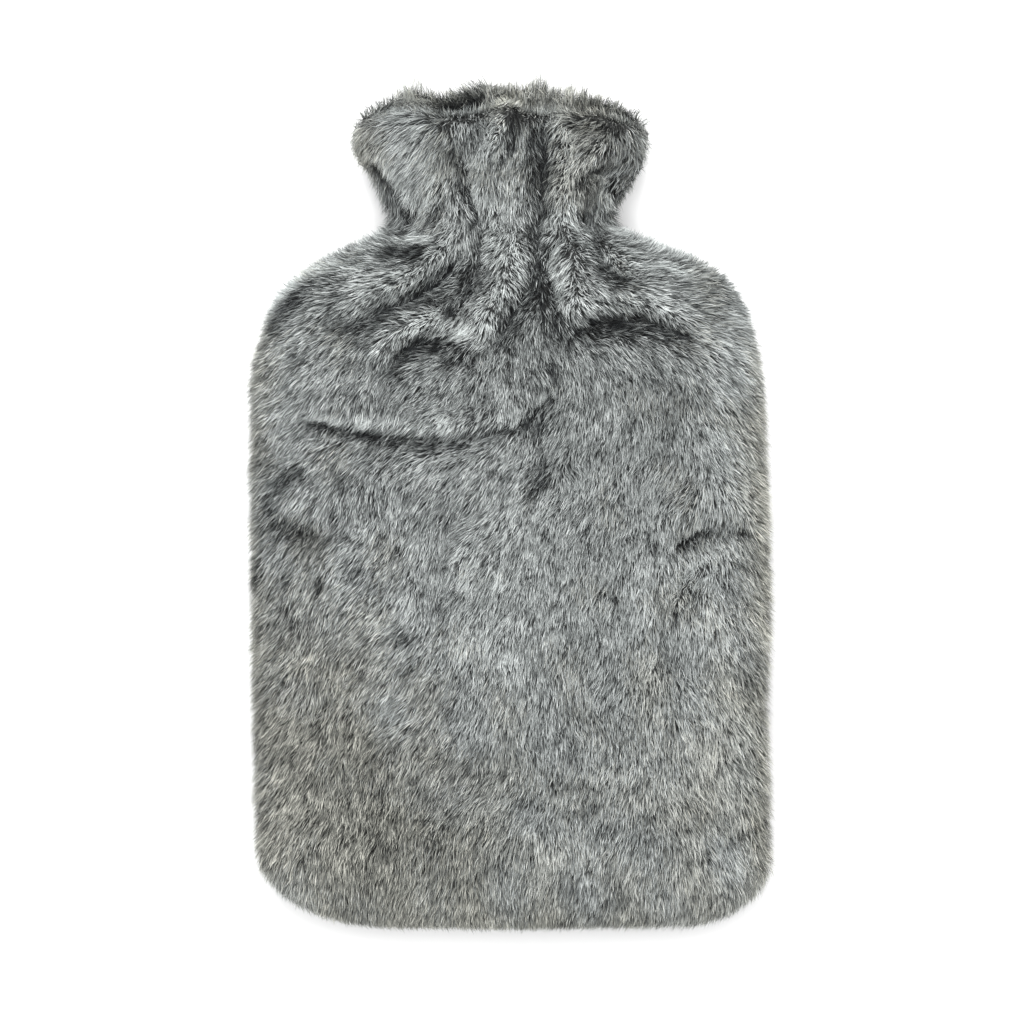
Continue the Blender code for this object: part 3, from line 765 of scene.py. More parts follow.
@dataclass
class PanelNet:
    """One panel's cloth as a fine net of places, with what grows there.

    Rows run from the bottom seam over the panel to its rim, round the turned-in
    edge and back inside. Columns run from the left seam to the right one. Each
    range, such as floor_near, is where a soft step starts and where it ends.
    """

    side: Side
    form: CoverForm
    columns: int = 361
    row_pitch: float = 0.7
    fine_steps: int = 2000
    pile: float = 5.6
    flat_pile: float = 3
    fold_share: float = 1.05
    deep_fold: float = 6
    rim_set: float = 0.4
    rim_range: Span = (8, 0.5)
    mouth_range: Span = (14, 3)
    floor_near: Span = (5, 0.5)
    floor_facing: Span = (0.7, 0.98)
    crowd_range: Span = (0.75, 0.97)
    crowd_under: float = 0.42
    turn: float = 1.6
    return_depth: float = 24
    return_pile: Span = (0.8, 0.55)
    points: Array = field(init=False)
    normals: Array = field(init=False)
    across: Array = field(init=False)
    along: Array = field(init=False)
    depth: Array = field(init=False)
    valley: Array = field(init=False)
    crest: Array = field(init=False)
    slit: Array = field(init=False)
    slit_shade_and_marks: Array = field(init=False)
    gash: Array = field(init=False)
    shade: Array = field(init=False)
    lip: Array = field(init=False)
    lip_way: Array = field(init=False)
    rim: Array = field(init=False)
    crowd: Array = field(init=False)
    inside: Array = field(init=False)
    outer_rows: int = field(init=False)

    def __post_init__(self) -> None:
        """Lay the net out."""
        y = self._row_heights()
        self.outer_rows = len(y)
        grid_u, grid_y = np.meshgrid(self._shares(), y)
        face = self.form.smooth_face(self.side, grid_u, grid_y)
        out = self._normals_of(face)
        relief = self.form.relief(self.side, face[..., 0], face[..., 1], grid_u)
        depth = self._pile_depth(face, out)
        cloth = face + (self.fold_share * relief - depth)[..., None] * out
        self.points, self.depth = self._with_return(cloth, depth)
        self.normals = self._normals_of(self.points)
        self.across = np.gradient(self.points, axis=1)
        self.along = np.gradient(self.points, axis=0)
        self._find_folds(face[..., 0], face[..., 1])
        self._find_creases(face[..., 0], face[..., 1])
        self.crowd = 1 - (1 - self.crowd_under) * smooth_step(
            *self.crowd_range, -self.normals[..., 2]
        )
        past = np.arange(self.rows)[:, None] - self.outer_rows
        past = past * self.row_pitch + np.zeros(self.columns)
        self.inside = np.maximum(past, 0)
        outer = smooth_step(*self.rim_range, -past)
        self.rim = np.where(past < 0, outer, smooth_step(*self.mouth_range, past))

    @property
    def rows(self) -> int:
        """The number of rows."""
        return self.points.shape[0]

    def read(self, net: Array, i: Array, j: Array) -> Array:
        """Read a net's values between its knots.

        Args:
            net: one of the nets, rows by columns by anything.
            i: columns, as fractions.
            j: rows, as fractions.

        Returns:
            The values there, those at the border where i or j lies past it.
        """
        i = np.clip(i, 0, self.columns - 1)
        j = np.clip(j, 0, self.rows - 1)
        i0 = np.minimum(i.astype(int), self.columns - 2)
        j0 = np.minimum(j.astype(int), self.rows - 2)
        fi, fj = i - i0, j - j0
        if net.ndim == 3:
            fi, fj = fi[..., None], fj[..., None]
        low = net[j0, i0] * (1 - fi) + net[j0, i0 + 1] * fi
        high = net[j0 + 1, i0] * (1 - fi) + net[j0 + 1, i0 + 1] * fi
        return low * (1 - fj) + high * fj

    def place(self, i: Array, j: Array) -> Array:
        """Return the points at columns i and rows j, carried on past the seams."""
        past_i = i - np.clip(i, 0, self.columns - 1)
        past_j = j - np.clip(j, 0, self.rows - 1)
        points = self.read(self.points, i, j)
        points += self.read(self.across, i, j) * past_i[..., None]
        return points + self.read(self.along, i, j) * past_j[..., None]

    def _shares(self) -> Array:
        """Return the columns' shares of the width, even along the section."""
        half_width, crown, power = (
            self.form.section(name, np.array(0.0)) for name in ("left", "crown", "power")
        )
        u = 1 - np.linspace(1, 0, self.fine_steps + 1) ** 3
        z = (crown - SEAM_Z) * (1 - u**power) ** (1 / power)
        half = evenly(np.hypot(np.diff(u) * half_width, np.diff(z)), u, self.columns // 2 + 1)
        return np.concatenate((-half[:0:-1], half))

    def _row_heights(self) -> Array:
        """Return the heights of the outer rows, even along the middle line."""
        shares = np.linspace(0, 1, 2 * self.fine_steps + 1) ** 2
        y = BOTTOM_Y + (MOUTH_Y - self.rim_set - BOTTOM_Y) * shares
        line = self.form.smooth_face(self.side, np.zeros_like(y), y)
        run = np.linalg.norm(np.diff(line, axis=0), axis=1)
        return evenly(run, y, int(np.cumsum(run)[-1] / self.row_pitch) + 1)

    def _normals_of(self, points: Array) -> Array:
        """Return the outward normals of a net of points."""
        across, along = np.gradient(points, axis=1), np.gradient(points, axis=0)
        normals = np.cross(across, along) * self.side.value
        normals[0, 0], normals[0, -1] = normals[1, 1], normals[1, -2]
        return unit(normals)

    def _pile_depth(self, face: Array, out: Array) -> Array:
        """Return how deep the cloth lies, less where the cover rests on it."""
        pressed = smooth_step(*self.floor_near, face[..., 2])
        pressed = pressed * smooth_step(*self.floor_facing, -out[..., 2])
        return self.pile + (self.flat_pile - self.pile) * pressed

    def _carried(self, values: Array, mode: str = "constant") -> Array:
        """Carry values of the outer rows on over the turned-in ones."""
        added = ((0, self.rows - self.outer_rows), *((0, 0),) * (values.ndim - 1))
        return np.pad(values, added, mode=mode)

    def _find_folds(self, x: Array, y: Array) -> None:
        """Set how deep in a trough, and how high on a ridge, each place lies."""
        valley, crest = np.zeros_like(x), np.zeros_like(x)
        for fold in self.form.folds(self.side):
            trough, ridge_ = self.form.trough(fold, x, y)
            valley += max(fold.depth, 0) / self.deep_fold * trough
            crest += max(-fold.depth, 0) / self.deep_fold * trough
            crest += abs(fold.ridge) / self.deep_fold * ridge_
        self.valley = self._carried(np.minimum(valley, 1), "edge")
        self.crest = self._carried(np.minimum(crest, 1))

    def _find_creases(self, x: Array, y: Array) -> None:
        """Set how near a crease's slit and its lip each place lies."""
        slit, slit_shade_and_marks, gash, shade, lip = (np.zeros_like(x) for _ in range(5))
        way = np.zeros((*x.shape, 2))
        for crease in FRONT_CREASES if self.side is Side.FRONT else ():
            own_slit, own_shade, own_lip, own_way = crease.read(x, y)
            slit, lip = np.maximum(slit, crease.cut * own_slit), np.maximum(lip, own_lip)
            slit_shade_and_marks = np.maximum(slit_shade_and_marks, crease.dark * own_slit)
            gash = np.maximum(gash, crease.cut * crease.dark * own_slit)
            shade = np.maximum(shade, own_shade)
            way += own_way
        self.slit, self.slit_shade_and_marks, self.gash, self.shade, self.lip, self.lip_way = map(
            self._carried, (slit, slit_shade_and_marks, gash, shade, lip * (1 - slit_shade_and_marks), way)
        )

    def _with_return(self, cloth: Array, depth: Array) -> tuple[Array, Array]:
        """Carry the net round the rim's turned-in edge and back inside."""
        out = self._normals_of(cloth)
        onward = unit(cloth[-1] - cloth[-3])
        steps = max(int(math.pi * self.turn / self.row_pitch), 4)
        rows = [cloth]
        for angle in np.linspace(0, math.pi, steps + 1)[1:]:
            back = self.turn * (1 - math.cos(angle)) * out[-1]
            rows.append((cloth[-1] - back + self.turn * math.sin(angle) * onward)[None])
        inside = int(self.return_depth / self.row_pitch)
        rows.append((cloth - 2 * self.turn * out)[-2 : -2 - inside : -1])
        points = np.concatenate(rows)
        shares = np.linspace(*self.return_pile, len(points) - len(depth))[:, None]
        hem = shares * np.maximum(depth[-1], self.pile)[None]
        return points, np.concatenate((depth, hem))


@dataclass(frozen=True)
class Hair:
    """One kind of hair: its sizes, and how it stands, strays and bunches."""

    length: float
    height: float
    widths: tuple[float, ...]
    steps: tuple[float, ...]
    rise: float
    wave: float
    stray: float
    twist: float
    tuft_pull: float
    tone: float
    tone_spread: float
    lock_pull: float = 0.02
    hem_share: float = 0.85


GUARD = Hair(
    length=7.6, height=1, widths=(0.2, 0.31), steps=(0, 0.5, 1), rise=1.4, wave=0.2,
    stray=12, twist=0.5, tuft_pull=0.16, tone=0.06, tone_spread=0.17,
)
UNDER = Hair(
    length=6.4, height=0.74, widths=(0.5,), steps=(0, 1), rise=1.3, wave=0,
    stray=16, twist=0.6, tuft_pull=0.2, tone=-0.16, tone_spread=0.14,
)


@dataclass
class PileGrower:
    """Grows one panel's pile: combed, bunched in tufts, and toned by place with painted light and
    shade.

    Wisps, tufts and locks are bunches of hairs at three scales: how far apart
    they stand, how far they draw hairs in, how many degrees they turn them and
    how far they shift their tone. Ranges are those of soft steps. Ripples are
    random fields, each with its share and its grain. Unevenness is the middle,
    what tufts and wisps add to it, and the most it comes to.
    """

    net: PanelNet
    rng: np.random.Generator
    wisp: float = 1.05
    tuft: float = 2.4
    lock: float = 8
    wisp_pull: float = 0.35
    wisp_turn: float = 6
    tuft_turn: float = 7
    lock_turn: float = 6
    wisp_tone: float = 0.085
    tuft_tone: float = 0.05
    lock_tone: float = 0.04
    stray: float = 8
    waves: int = 6
    lean_ripples: tuple[Span, ...] = ((1, 34), (0.7, 14))
    tone_ripples: tuple[Span, ...] = ((0.03, 40), (0.03, 16))
    warmth_ripples: tuple[Span, ...] = ((0.12, 30),)
    level_range: Span = (0.25, 0.7)
    steepest_flow: float = 4
    back_drift: float = 0.12
    back_spread: float = 0.7
    back_fan: Span = (40, 96)
    back_neck: Span = (100, 116)
    edge_range: Span = (0.75, 0.2)
    low_range: Span = (0.1, 0.7)
    tuft_length: float = 0.1
    own_length: float = 0.17
    length_limits: Span = (0.5, 1.5)
    edge_short: float = 0.12
    rim_short: float = 0.18
    low_short: float = 0.2
    tuft_height: float = 0.12
    own_height: float = 0.18
    height_limits: Span = (0.4, 1.45)
    edge_flat: float = 0.08
    low_flat: float = 0.12
    least_reach: float = 0.5
    run_power: float = 1.1
    pull_power: float = 1.4
    stiffness: float = 0.6
    edge_stiffness: float = 0.15
    # Painted shade in the folds' troughs and painted light on their crests, as shares of tone.
    fold_painted_shade: float = 0.26
    fold_painted_light: float = 0.1
    fold_flat: float = 0.35
    slit_dark: float = 0.6
    slit_flat: float = 0.35
    slit_gap: float = 1.2
    slit_uneven: tuple[float, ...] = (0.95, 0.35, 0.5, 1.7)
    shade_uneven: tuple[float, ...] = (0.7, 0.5, 0.75, 2.2)
    shade_dark: float = 0.32
    shade_gap: float = 0.9
    lip_painted_light: float = 0.24
    lip_turn: float = 2
    lip_even: float = 0.55
    lip_short: float = 0.25
    lip_high: float = 0.3
    lip_gap: float = 0.7
    inside_lean: Span = (-2, 1)
    mouth_range: Span = (0, 2)
    # Painted light on the turned-in pile near the rim, and painted shade deeper inside.
    hem_painted_light: float = 0.12
    hem_range: Span = (0, 3)
    inside_painted_shade: float = 0.34
    inside_range: Span = (15, 21)
    parted: float = 0.07
    parted_gap: float = 0.75
    rim_gap: float = -0.26
    rim_turn: float = 1.6
    rim_stray: float = 1.2
    gap_limits: Span = (-0.3, 1)
    crowd_power: float = -0.8
    edge_thin: float = 0.25
    stop_limits: Span = (0.35, 0.9)
    stop_rise: float = 0.3
    stop_steps: int = 8
    least_kept: float = 0.2
    longest: float = 1.1
    tone_place: float = 0.6
    middle_warmth: float = 0.25
    way: Array = field(init=False)
    flow_i: Array = field(init=False)
    flow_j: Array = field(init=False)
    tone: Array = field(init=False)
    warmth: Array = field(init=False)
    mouth_shade: Array = field(init=False)
    even: Array = field(init=False)
    taller: Array = field(init=False)

    def __post_init__(self) -> None:
        """Work out the lie of the pile and its tone over the net."""
        self._comb()
        self._shade()

    def _comb(self) -> None:
        """Set the way the pile lies, also in columns and rows a millimetre."""
        net = self.net
        down = unit(-net.along)
        right = unit(np.cross(net.normals, down)) * net.side.value
        x, y = net.points[..., 0], net.points[..., 1]
        waver = self._ripple(x, y, self.lean_ripples)
        lean = self._lean(x, y) + np.radians(self.stray) * waver
        flat = np.stack((np.sin(lean), -np.cos(lean), np.zeros_like(lean)), axis=-1)
        flat[..., :2] += self.lip_turn * net.lip_way
        flat -= net.normals * (flat * net.normals).sum(-1, keepdims=True)
        turned = np.cos(lean)[..., None] * down + np.sin(lean)[..., None] * right
        level = smooth_step(*self.level_range, np.abs(net.normals[..., 2]))[..., None]
        level[net.outer_rows :] = 0
        self.way = unit(level * flat + (1 - level) * turned)
        aa = (net.across**2).sum(-1)
        bb = (net.along**2).sum(-1)
        ab = (net.across * net.along).sum(-1)
        fa = (self.way * net.across).sum(-1)
        fb = (self.way * net.along).sum(-1)
        whole = np.maximum(aa * bb - ab * ab, 1e-3 * aa * bb + 1e-9)
        steepest = (-self.steepest_flow, self.steepest_flow)
        self.flow_i = np.clip((fa * bb - fb * ab) / whole, *steepest)
        self.flow_j = np.clip((fb * aa - fa * ab) / whole, *steepest)

    def _lean(self, x: Array, y: Array) -> Array:
        """Return the comb's angle, in radians, at each place."""
        if self.net.side is Side.BACK:
            spread = smooth_step(*self.back_fan, y) * (1 - smooth_step(*self.back_neck, y))
            outside = self.back_drift * x + self.back_spread * x * spread
            places, leans = np.array(RIM_LEANS).T
            share = smooth_step(*self.inside_lean, self.net.inside)
            return np.radians(outside + (np.interp(x, places, leans) - outside) * share)
        total, sine, cosine = (np.zeros_like(x) + 1e-9 for _ in range(3))
        for comb in FRONT_COMB:
            away = ((x - comb.x) ** 2 + (y - comb.y) ** 2) / comb.reach**2
            weight = np.exp(-away) + 1e-3 / (1 + away) ** 2
            total += weight
            sine += weight * math.sin(math.radians(comb.lean))
            cosine += weight * math.cos(math.radians(comb.lean))
        return np.arctan2(sine, cosine)

    def _ripple(self, x: Array, y: Array, ripples: tuple[Span, ...]) -> Array:
        """Add up smooth random fields, each mostly within its share."""
        total = np.zeros_like(x)
        for share, grain in ripples:
            field_ = np.zeros_like(x)
            for _ in range(self.waves):
                way, phase = self.rng.uniform(0, 2 * math.pi, 2)
                size = grain * self.rng.uniform(0.7, 1.4)
                run = (x * math.cos(way) + y * math.sin(way)) * 2 * math.pi / size
                field_ += np.sin(run + phase)
            total += share * (field_ / math.sqrt(self.waves))
        return total

    def _shade(self) -> None:
        """Set the pile's tone and warmth by place, painted light and shade included."""
        net = self.net
        x, y = net.points[..., 0], net.points[..., 1]

        def on(side: Side, rows: tuple[Patch, ...]) -> Array:
            """Add up the patches of one panel alone."""
            return patches(rows if net.side is side else (), x, y)

        tone = self._ripple(x, y, self.tone_ripples)
        # Painted light on the folds' crests and painted shade in their troughs.
        tone += self.fold_painted_light * net.crest - self.fold_painted_shade * net.valley
        # Painted light on the lips that hang over the creases, and on the thin ridges.
        tone += self.lip_painted_light * net.lip
        # Patches of own tone with painted light and shade.
        tone += on(Side.FRONT, TONES_AND_PAINTED_LIGHT)
        # Painted shade on the back's turned-in pile in the mouth.
        self.mouth_shade = on(Side.BACK, MOUTH_PAINTED_SHADE) * smooth_step(*self.mouth_range, net.inside)
        tone += self.mouth_shade
        # Painted light on the turned-in pile just inside the rim, painted shade deeper in.
        hem = self.hem_painted_light * smooth_step(*self.hem_range, net.inside)
        tone += hem - self.inside_painted_shade * smooth_step(*self.inside_range, net.inside)
        self.tone = tone
        self.even = 1 - self.lip_even * net.lip
        self.even -= on(Side.FRONT, EVENNESS)
        self.taller = 1 + on(Side.BACK, RIM_TUFTS) * net.rim
        # The pile's own warmth, with painted light down the side edges.
        self.warmth = self.middle_warmth + patches(WARMTHS_AND_EDGE_LIGHT, x, y)
        self.warmth += self._ripple(x, y, self.warmth_ripples)

    def roots(self, density: float, first: float, last: float) -> tuple[Array, Array]:
        """Choose where hairs grow.

        Args:
            density: hairs for each square millimetre.
            first: the first row, as a share of the outer rows.
            last: the last row, likewise; past 1 lies the turned-in edge.

        Returns:
            The hairs' columns and rows, as fractions.
        """
        net = self.net
        low, high = int(first * net.outer_rows), int(last * net.outer_rows)
        cells = np.linalg.norm(np.cross(net.across, net.along), axis=-1) * net.crowd
        cells = cells[low : min(high, net.rows - 2), :-1]
        count = int(cells.sum() * density)
        spread = np.cumsum(cells.ravel())
        pick = np.searchsorted(spread, self.rng.uniform(0, spread[-1], count))
        j, i = np.divmod(np.minimum(pick, cells.size - 1), cells.shape[1])
        return i + self.rng.random(count), j + low + self.rng.random(count)

    def bunch(self, i: Array, j: Array, size: float) -> tuple[Array, Array, Array]:
        """Find the middle of the bunch that each hair belongs to.

        Args:
            i: the hairs' columns.
            j: the hairs' rows.
            size: how far apart bunches stand.

        Returns:
            The middles' columns and rows, and a number for each bunch.
        """
        net = self.net
        scale_i = np.median(np.linalg.norm(net.read(net.across, i, j), axis=-1))
        scale_j = np.median(np.linalg.norm(net.read(net.along, i, j), axis=-1))
        size_i, size_j = size / scale_i, size / scale_j
        wide, tall = int(net.columns / size_i) + 5, int(net.rows / size_j) + 5
        jitter = self.rng.uniform(0, 1, (tall, wide, 2))
        ci, cj = (i / size_i).astype(int) + 2, (j / size_j).astype(int) + 2
        best = np.full(i.shape, np.inf)
        middle_i, middle_j, number = i.copy(), j.copy(), np.zeros(i.shape, int)
        for di in (-1, 0, 1):
            for dj in (-1, 0, 1):
                a, b = np.clip(ci + di, 0, wide - 1), np.clip(cj + dj, 0, tall - 1)
                mi = (a - 2 + jitter[b, a, 0]) * size_i
                mj = (b - 2 + jitter[b, a, 1]) * size_j
                away = ((mi - i) * scale_i) ** 2 + ((mj - j) * scale_j) ** 2
                near = away < best
                best = np.where(near, away, best)
                middle_i, middle_j = np.where(near, mi, middle_i), np.where(near, mj, middle_j)
                number = np.where(near, b * wide + a, number)
        return middle_i, middle_j, number

    def grow(self, hair: Hair, density: float, first: float, last: float) -> Strands:
        """Grow the hairs of one kind over a stretch of the panel.

        Args:
            hair: the kind of hair.
            density: hairs for each square millimetre.
            first: the first row, as a share of the outer rows.
            last: the last row, likewise.

        Returns:
            The hairs.
        """
        net, rng = self.net, self.rng
        i, j = self.roots(density, first, last)
        count = len(i)

        def here(values: Array) -> Array:
            """Read a net at the roots."""
            return net.read(values, i, j)

        def uneven(shares: tuple[float, ...], by_tuft: Array) -> Array:
            """Return how a shade varies from tuft to tuft and wisp to wisp."""
            middle, tufts, wisps, most = shares
            return np.clip(middle + tufts * by_tuft + wisps * per_wisp[2], 0, most)

        tuft_i, tuft_j, tuft = self.bunch(i, j, self.tuft)
        lock_i, lock_j, lock = self.bunch(i, j, self.lock)
        wisp_i, wisp_j, wisp = self.bunch(i, j, self.wisp)
        per_wisp, per_tuft, per_lock = (
            rng.normal(0, 1, (numbers, bunch.max() + 1))[:, bunch]
            for numbers, bunch in ((3, wisp), (5, tuft), (4, lock))
        )
        normal, rim, taller = here(net.normals), here(net.rim), here(self.taller)
        slit_shade_and_marks, lip = here(net.slit_shade_and_marks), here(net.lip)
        edge = smooth_step(*self.edge_range, np.abs(normal[:, 2]))
        low = smooth_step(*self.low_range, -normal[:, 1])
        length = 1 + self.tuft_length * per_tuft[1] + rng.normal(0, self.own_length, count)
        length = hair.length * np.clip(length, *self.length_limits)
        length *= 1 - self.edge_short * edge - self.rim_short * rim
        length *= np.where(j > net.outer_rows, hair.hem_share, 1) * taller
        length *= 1 - self.lip_short * lip
        length *= 1 - self.low_short * low
        height = 1 + self.tuft_height * per_tuft[2] + rng.normal(0, self.own_height, count)
        height = hair.height * np.clip(height, *self.height_limits) * here(net.depth) * taller
        valley = here(net.valley)
        height *= 1 - self.fold_flat * valley - self.edge_flat * edge - self.low_flat * low
        height *= 1 - self.slit_flat * here(net.gash)
        height *= 1 + self.lip_high * lip
        least = self.least_reach * length
        reach = np.sqrt(np.maximum(length**2 - height**2, least**2))

        bunched = self.wisp_turn * per_wisp[0] + self.tuft_turn * per_tuft[0]
        bunched = (bunched + self.lock_turn * per_lock[0]) * (1 + self.rim_turn * rim)
        turn = np.radians(bunched + rng.normal(0, hair.stray * (1 + self.rim_stray * rim), count))
        way = unit(net.read(self.way, tuft_i, tuft_j))
        way = way * np.cos(turn)[:, None] + np.cross(normal, way) * np.sin(turn)[:, None]
        flow_i, flow_j = (net.read(flow, tuft_i, tuft_j) for flow in (self.flow_i, self.flow_j))
        reach *= self._kept(i, j, reach * flow_i, reach * flow_j)
        wave = rng.normal(0, hair.wave, count)
        beside = np.cross(normal, way)
        stiff = (self.stiffness + (self.edge_stiffness - self.stiffness) * edge)[:, None]
        pulls = (hair.tuft_pull, hair.lock_pull, self.wisp_pull)
        spots, normals = [], []
        for t in hair.steps:
            run = reach * t**self.run_power
            pull, drift, close = (share * t**self.pull_power for share in pulls)
            at_i = i + pull * (tuft_i - i) + drift * (lock_i - i) + close * (wisp_i - i)
            at_j = j + pull * (tuft_j - j) + drift * (lock_j - j) + close * (wisp_j - j)
            straight = net.place(at_i, at_j) + run[:, None] * way
            over = at_i + run * flow_i, at_j + run * flow_j
            bent = net.place(*over)
            up = unit(normal + (1 - stiff) * (net.read(net.normals, *over) - normal))
            spot = bent + stiff * (straight - bent)
            spot += (height * (1 - (1 - t) ** hair.rise))[:, None] * up
            spots.append(spot + (wave * math.sin(math.pi * t))[:, None] * beside)
            normals.append(up)

        toned = i + self.tone_place * reach * flow_i, j + self.tone_place * reach * flow_j
        own = (self.tuft_tone * (1 + rim)) * per_tuft[3] + self.lock_tone * per_lock[3]
        own = own + self.wisp_tone * per_wisp[1] + rng.normal(0, hair.tone_spread, count)
        tone = 0.5 + hair.tone + own * here(self.even)
        tone += net.read(self.tone, *toned)
        # Painted shade in the creases' slits and in the shade below them, with the darker hairs of
        # the marks, uneven from tuft to tuft.
        dim = uneven(self.slit_uneven, per_tuft[1])
        shade = here(net.shade) * uneven(self.shade_uneven, per_tuft[4])
        tone -= self.slit_dark * slit_shade_and_marks * dim + self.shade_dark * shade
        parted = (rng.random(tuft.max() + 1) < self.parted)[tuft]
        # Dark roots run further up the hairs in the painted shade of slits, marks, crease shade
        # and the mouth, and less far on the lips, as painted light.
        gap = self.slit_gap * slit_shade_and_marks * dim + self.shade_gap * shade
        gap += self.parted_gap * parted + self.rim_gap * rim - here(self.mouth_shade)
        gap -= self.lip_gap * lip
        shelf = net.read(self.warmth, *toned) * WARMTH_SHELVES + rng.random(count) - 0.5
        thin = 1 - self.edge_thin * np.maximum(edge, rim)
        return Strands(
            hair=hair,
            spots=self._held(np.stack(spots), length),
            normals=np.stack(normals),
            tone=tone,
            gap=np.clip(gap, *self.gap_limits),
            shelf=np.clip(np.floor(shelf), 0, WARMTH_SHELVES - 1),
            twist=rng.normal(0, hair.twist, count),
            width=here(net.crowd) ** self.crowd_power * thin,
        )

    def _kept(self, i: Array, j: Array, run_i: Array, run_j: Array) -> Array:
        """Find how much of its reach each hair keeps before a crease's slit.

        Args:
            i: the hairs' columns at the root.
            j: their rows.
            run_i: how many columns each would run.
            run_j: how many rows.

        Returns:
            The share of its reach, 1 where no slit is crossed.
        """
        net = self.net
        at_root = net.read(net.slit, i, j)
        limit = self.rng.uniform(*self.stop_limits, len(i))
        kept = np.ones(len(i))
        for share in np.linspace(1, 1 / self.stop_steps, self.stop_steps):
            slit = net.read(net.slit, i + share * run_i, j + share * run_j)
            kept = np.where((slit > limit) & (slit > at_root + self.stop_rise), share, kept)
        return np.maximum(kept, self.least_kept)

    def _held(self, spots: Array, length: Array) -> Array:
        """Draw hairs in that the net's narrow corners made too long."""
        reach = np.linalg.norm(spots[-1] - spots[0], axis=-1)
        share = np.minimum(1, self.longest * length / np.maximum(reach, 1e-6))
        return spots[0] + (spots - spots[0]) * share[:, None]


@dataclass
class Strands:
    """Hairs as rows of places from root to tip, ready to become ribbons."""

    hair: Hair
    spots: Array
    normals: Array
    tone: Array
    gap: Array
    shelf: Array
    twist: Array
    width: Array
    gap_shift: float = 2.4
    shade_width: float = 0.012
    tone_limits: Span = (0.03, 0.97)
    shelf_foot: float = 0.02
    shelf_run: float = 0.96
    floor_clear: float = 0.25

    @property
    def count(self) -> int:
        """The number of hairs."""
        return self.spots.shape[1]

    def ribbons(self) -> tuple[Array, Array]:
        """Return the ribbons' corners and map places.

        Returns:
            The points, hairs by corners by 3, and their map places, by 2.
        """
        last = len(self.hair.steps) - 1
        along = unit(np.gradient(self.spots, axis=0))
        beside = unit(np.cross(along, self.normals))
        turned = np.cos(self.twist)[:, None] * beside + np.sin(self.twist)[:, None] * self.normals
        corners, places = [], []
        tone = np.clip(self.tone, *self.tone_limits)
        for row in range(last):
            half = turned[row] * (self.hair.widths[row] * self.width / 2)[:, None]
            for sign in (-1, 1):
                corners.append(self.spots[row] + sign * half)
                places.append(self._map_place(tone + sign * self.shade_width, row))
        corners.append(self.spots[-1])
        places.append(self._map_place(tone, last))
        points = np.stack(corners, axis=1)
        points[..., 2] = np.maximum(points[..., 2], self.floor_clear)
        return points, np.stack(places, axis=1)

    def faces(self) -> list[tuple[int, ...]]:
        """Return one ribbon's faces, as the numbers of its corners."""
        last = 2 * (len(self.hair.steps) - 1)
        quads = [(k, k + 1, k + 3, k + 2) for k in range(0, last - 2, 2)]
        return [*quads, (last - 2, last - 1, last)]

    def _map_place(self, tone: Array, row: int) -> Array:
        """Return the map places: tone across, and root to tip up each shelf."""
        rise = self.hair.steps[row] ** (1 + self.gap_shift * self.gap)
        up = self.shelf_foot + self.shelf_run * rise
        return np.stack((tone, (self.shelf + up) / WARMTH_SHELVES), axis=-1)


def set_inputs(node: Node, values: dict[str | int, Any]) -> None:
    """Set a node's inputs, given by name or number."""
    for name, value in values.items():
        node.inputs[name].default_value = value


def wire(tree: bpy.types.NodeTree, *wires: tuple[Node, str, Node, str | int]) -> None:
    """Link nodes: each wire is a node, its output, a node and its input."""
    for start, output, end, socket in wires:
        tree.links.new(start.outputs[output], end.inputs[socket])


def new_material(
    name: str, values: dict[str | int, Any]
) -> tuple[bpy.types.Material, bpy.types.NodeTree, Node]:
    """Make a material.

    Args:
        name: its name.
        values: what its shader's own inputs are set to.

    Returns:
        The material, its node tree and its shader.
    """
    material = bpy.data.materials.new(name)
    material.use_nodes = True
    tree = material.node_tree
    shader = tree.nodes["Principled BSDF"]
    set_inputs(shader, values)
    return material, tree, shader


@dataclass(frozen=True)
class PileFinish:
    """The grey pile: dark at the root, each hair of its own shade and warmth."""

    name: str = "grey_pile"
    dark: Triple = (0.018, 0.021, 0.024)
    middle: Triple = (0.285, 0.306, 0.3)
    pale: Triple = (0.81, 0.85, 0.838)
    warm: Triple = (1.055, 1, 0.91)
    root_share: float = 0.1
    roughness: float = 0.62
    sheen: float = 0.04
    specular: float = 0.22

    def material(self) -> bpy.types.Material:
        """Return the material, which reads only the hairs' own map."""
        own = {
            "Roughness": self.roughness,
            "Sheen Weight": self.sheen,
            "Specular IOR Level": self.specular,
        }
        material, tree, shader = new_material(self.name, own)
        tone = tree.nodes.new("ShaderNodeGroup")
        tone.node_tree = hair_tone_group()
        colours = ("Dark", "Middle", "Pale", "Warm")
        set_inputs(tone, {name: (*getattr(self, name.lower()), 1) for name in colours})
        set_inputs(tone, {"Root": self.root_share})
        place = tree.nodes.new("ShaderNodeTexCoord")
        wire(tree, (place, "UV", tone, "Place"), (tone, "Colour", shader, "Base Color"))
        return material


@dataclass(frozen=True)
class BackingFinish:
    """The knitted cloth under the pile, dark grey with its rows of loops."""

    name: str = "knitted_backing"
    colour: Triple = (0.03, 0.031, 0.031)
    fleck: Triple = (0.07, 0.072, 0.07)
    loop: float = 1.1
    loop_depth: float = 0.2
    roughness: float = 0.9

    def material(self) -> bpy.types.Material:
        """Return the material, patterned on object coordinates."""
        material, tree, shader = new_material(self.name, {"Roughness": self.roughness})
        kinds = ("TexCoord", "TexNoise", "Mix", "Bump")
        place, noise, mix, bump = (tree.nodes.new("ShaderNode" + kind) for kind in kinds)
        mix.data_type = "RGBA"
        set_inputs(noise, {"Scale": 1 / (self.loop * MM), "Detail": 3})
        set_inputs(mix, {"A": (*self.colour, 1), "B": (*self.fleck, 1)})
        set_inputs(bump, {"Distance": self.loop_depth * MM})
        wire(
            tree,
            (place, "Object", noise, "Vector"),
            (noise, "Fac", mix, "Factor"),
            (mix, "Result", shader, "Base Color"),
            (noise, "Fac", bump, "Height"),
            (bump, "Normal", shader, "Normal"),
        )
        return material


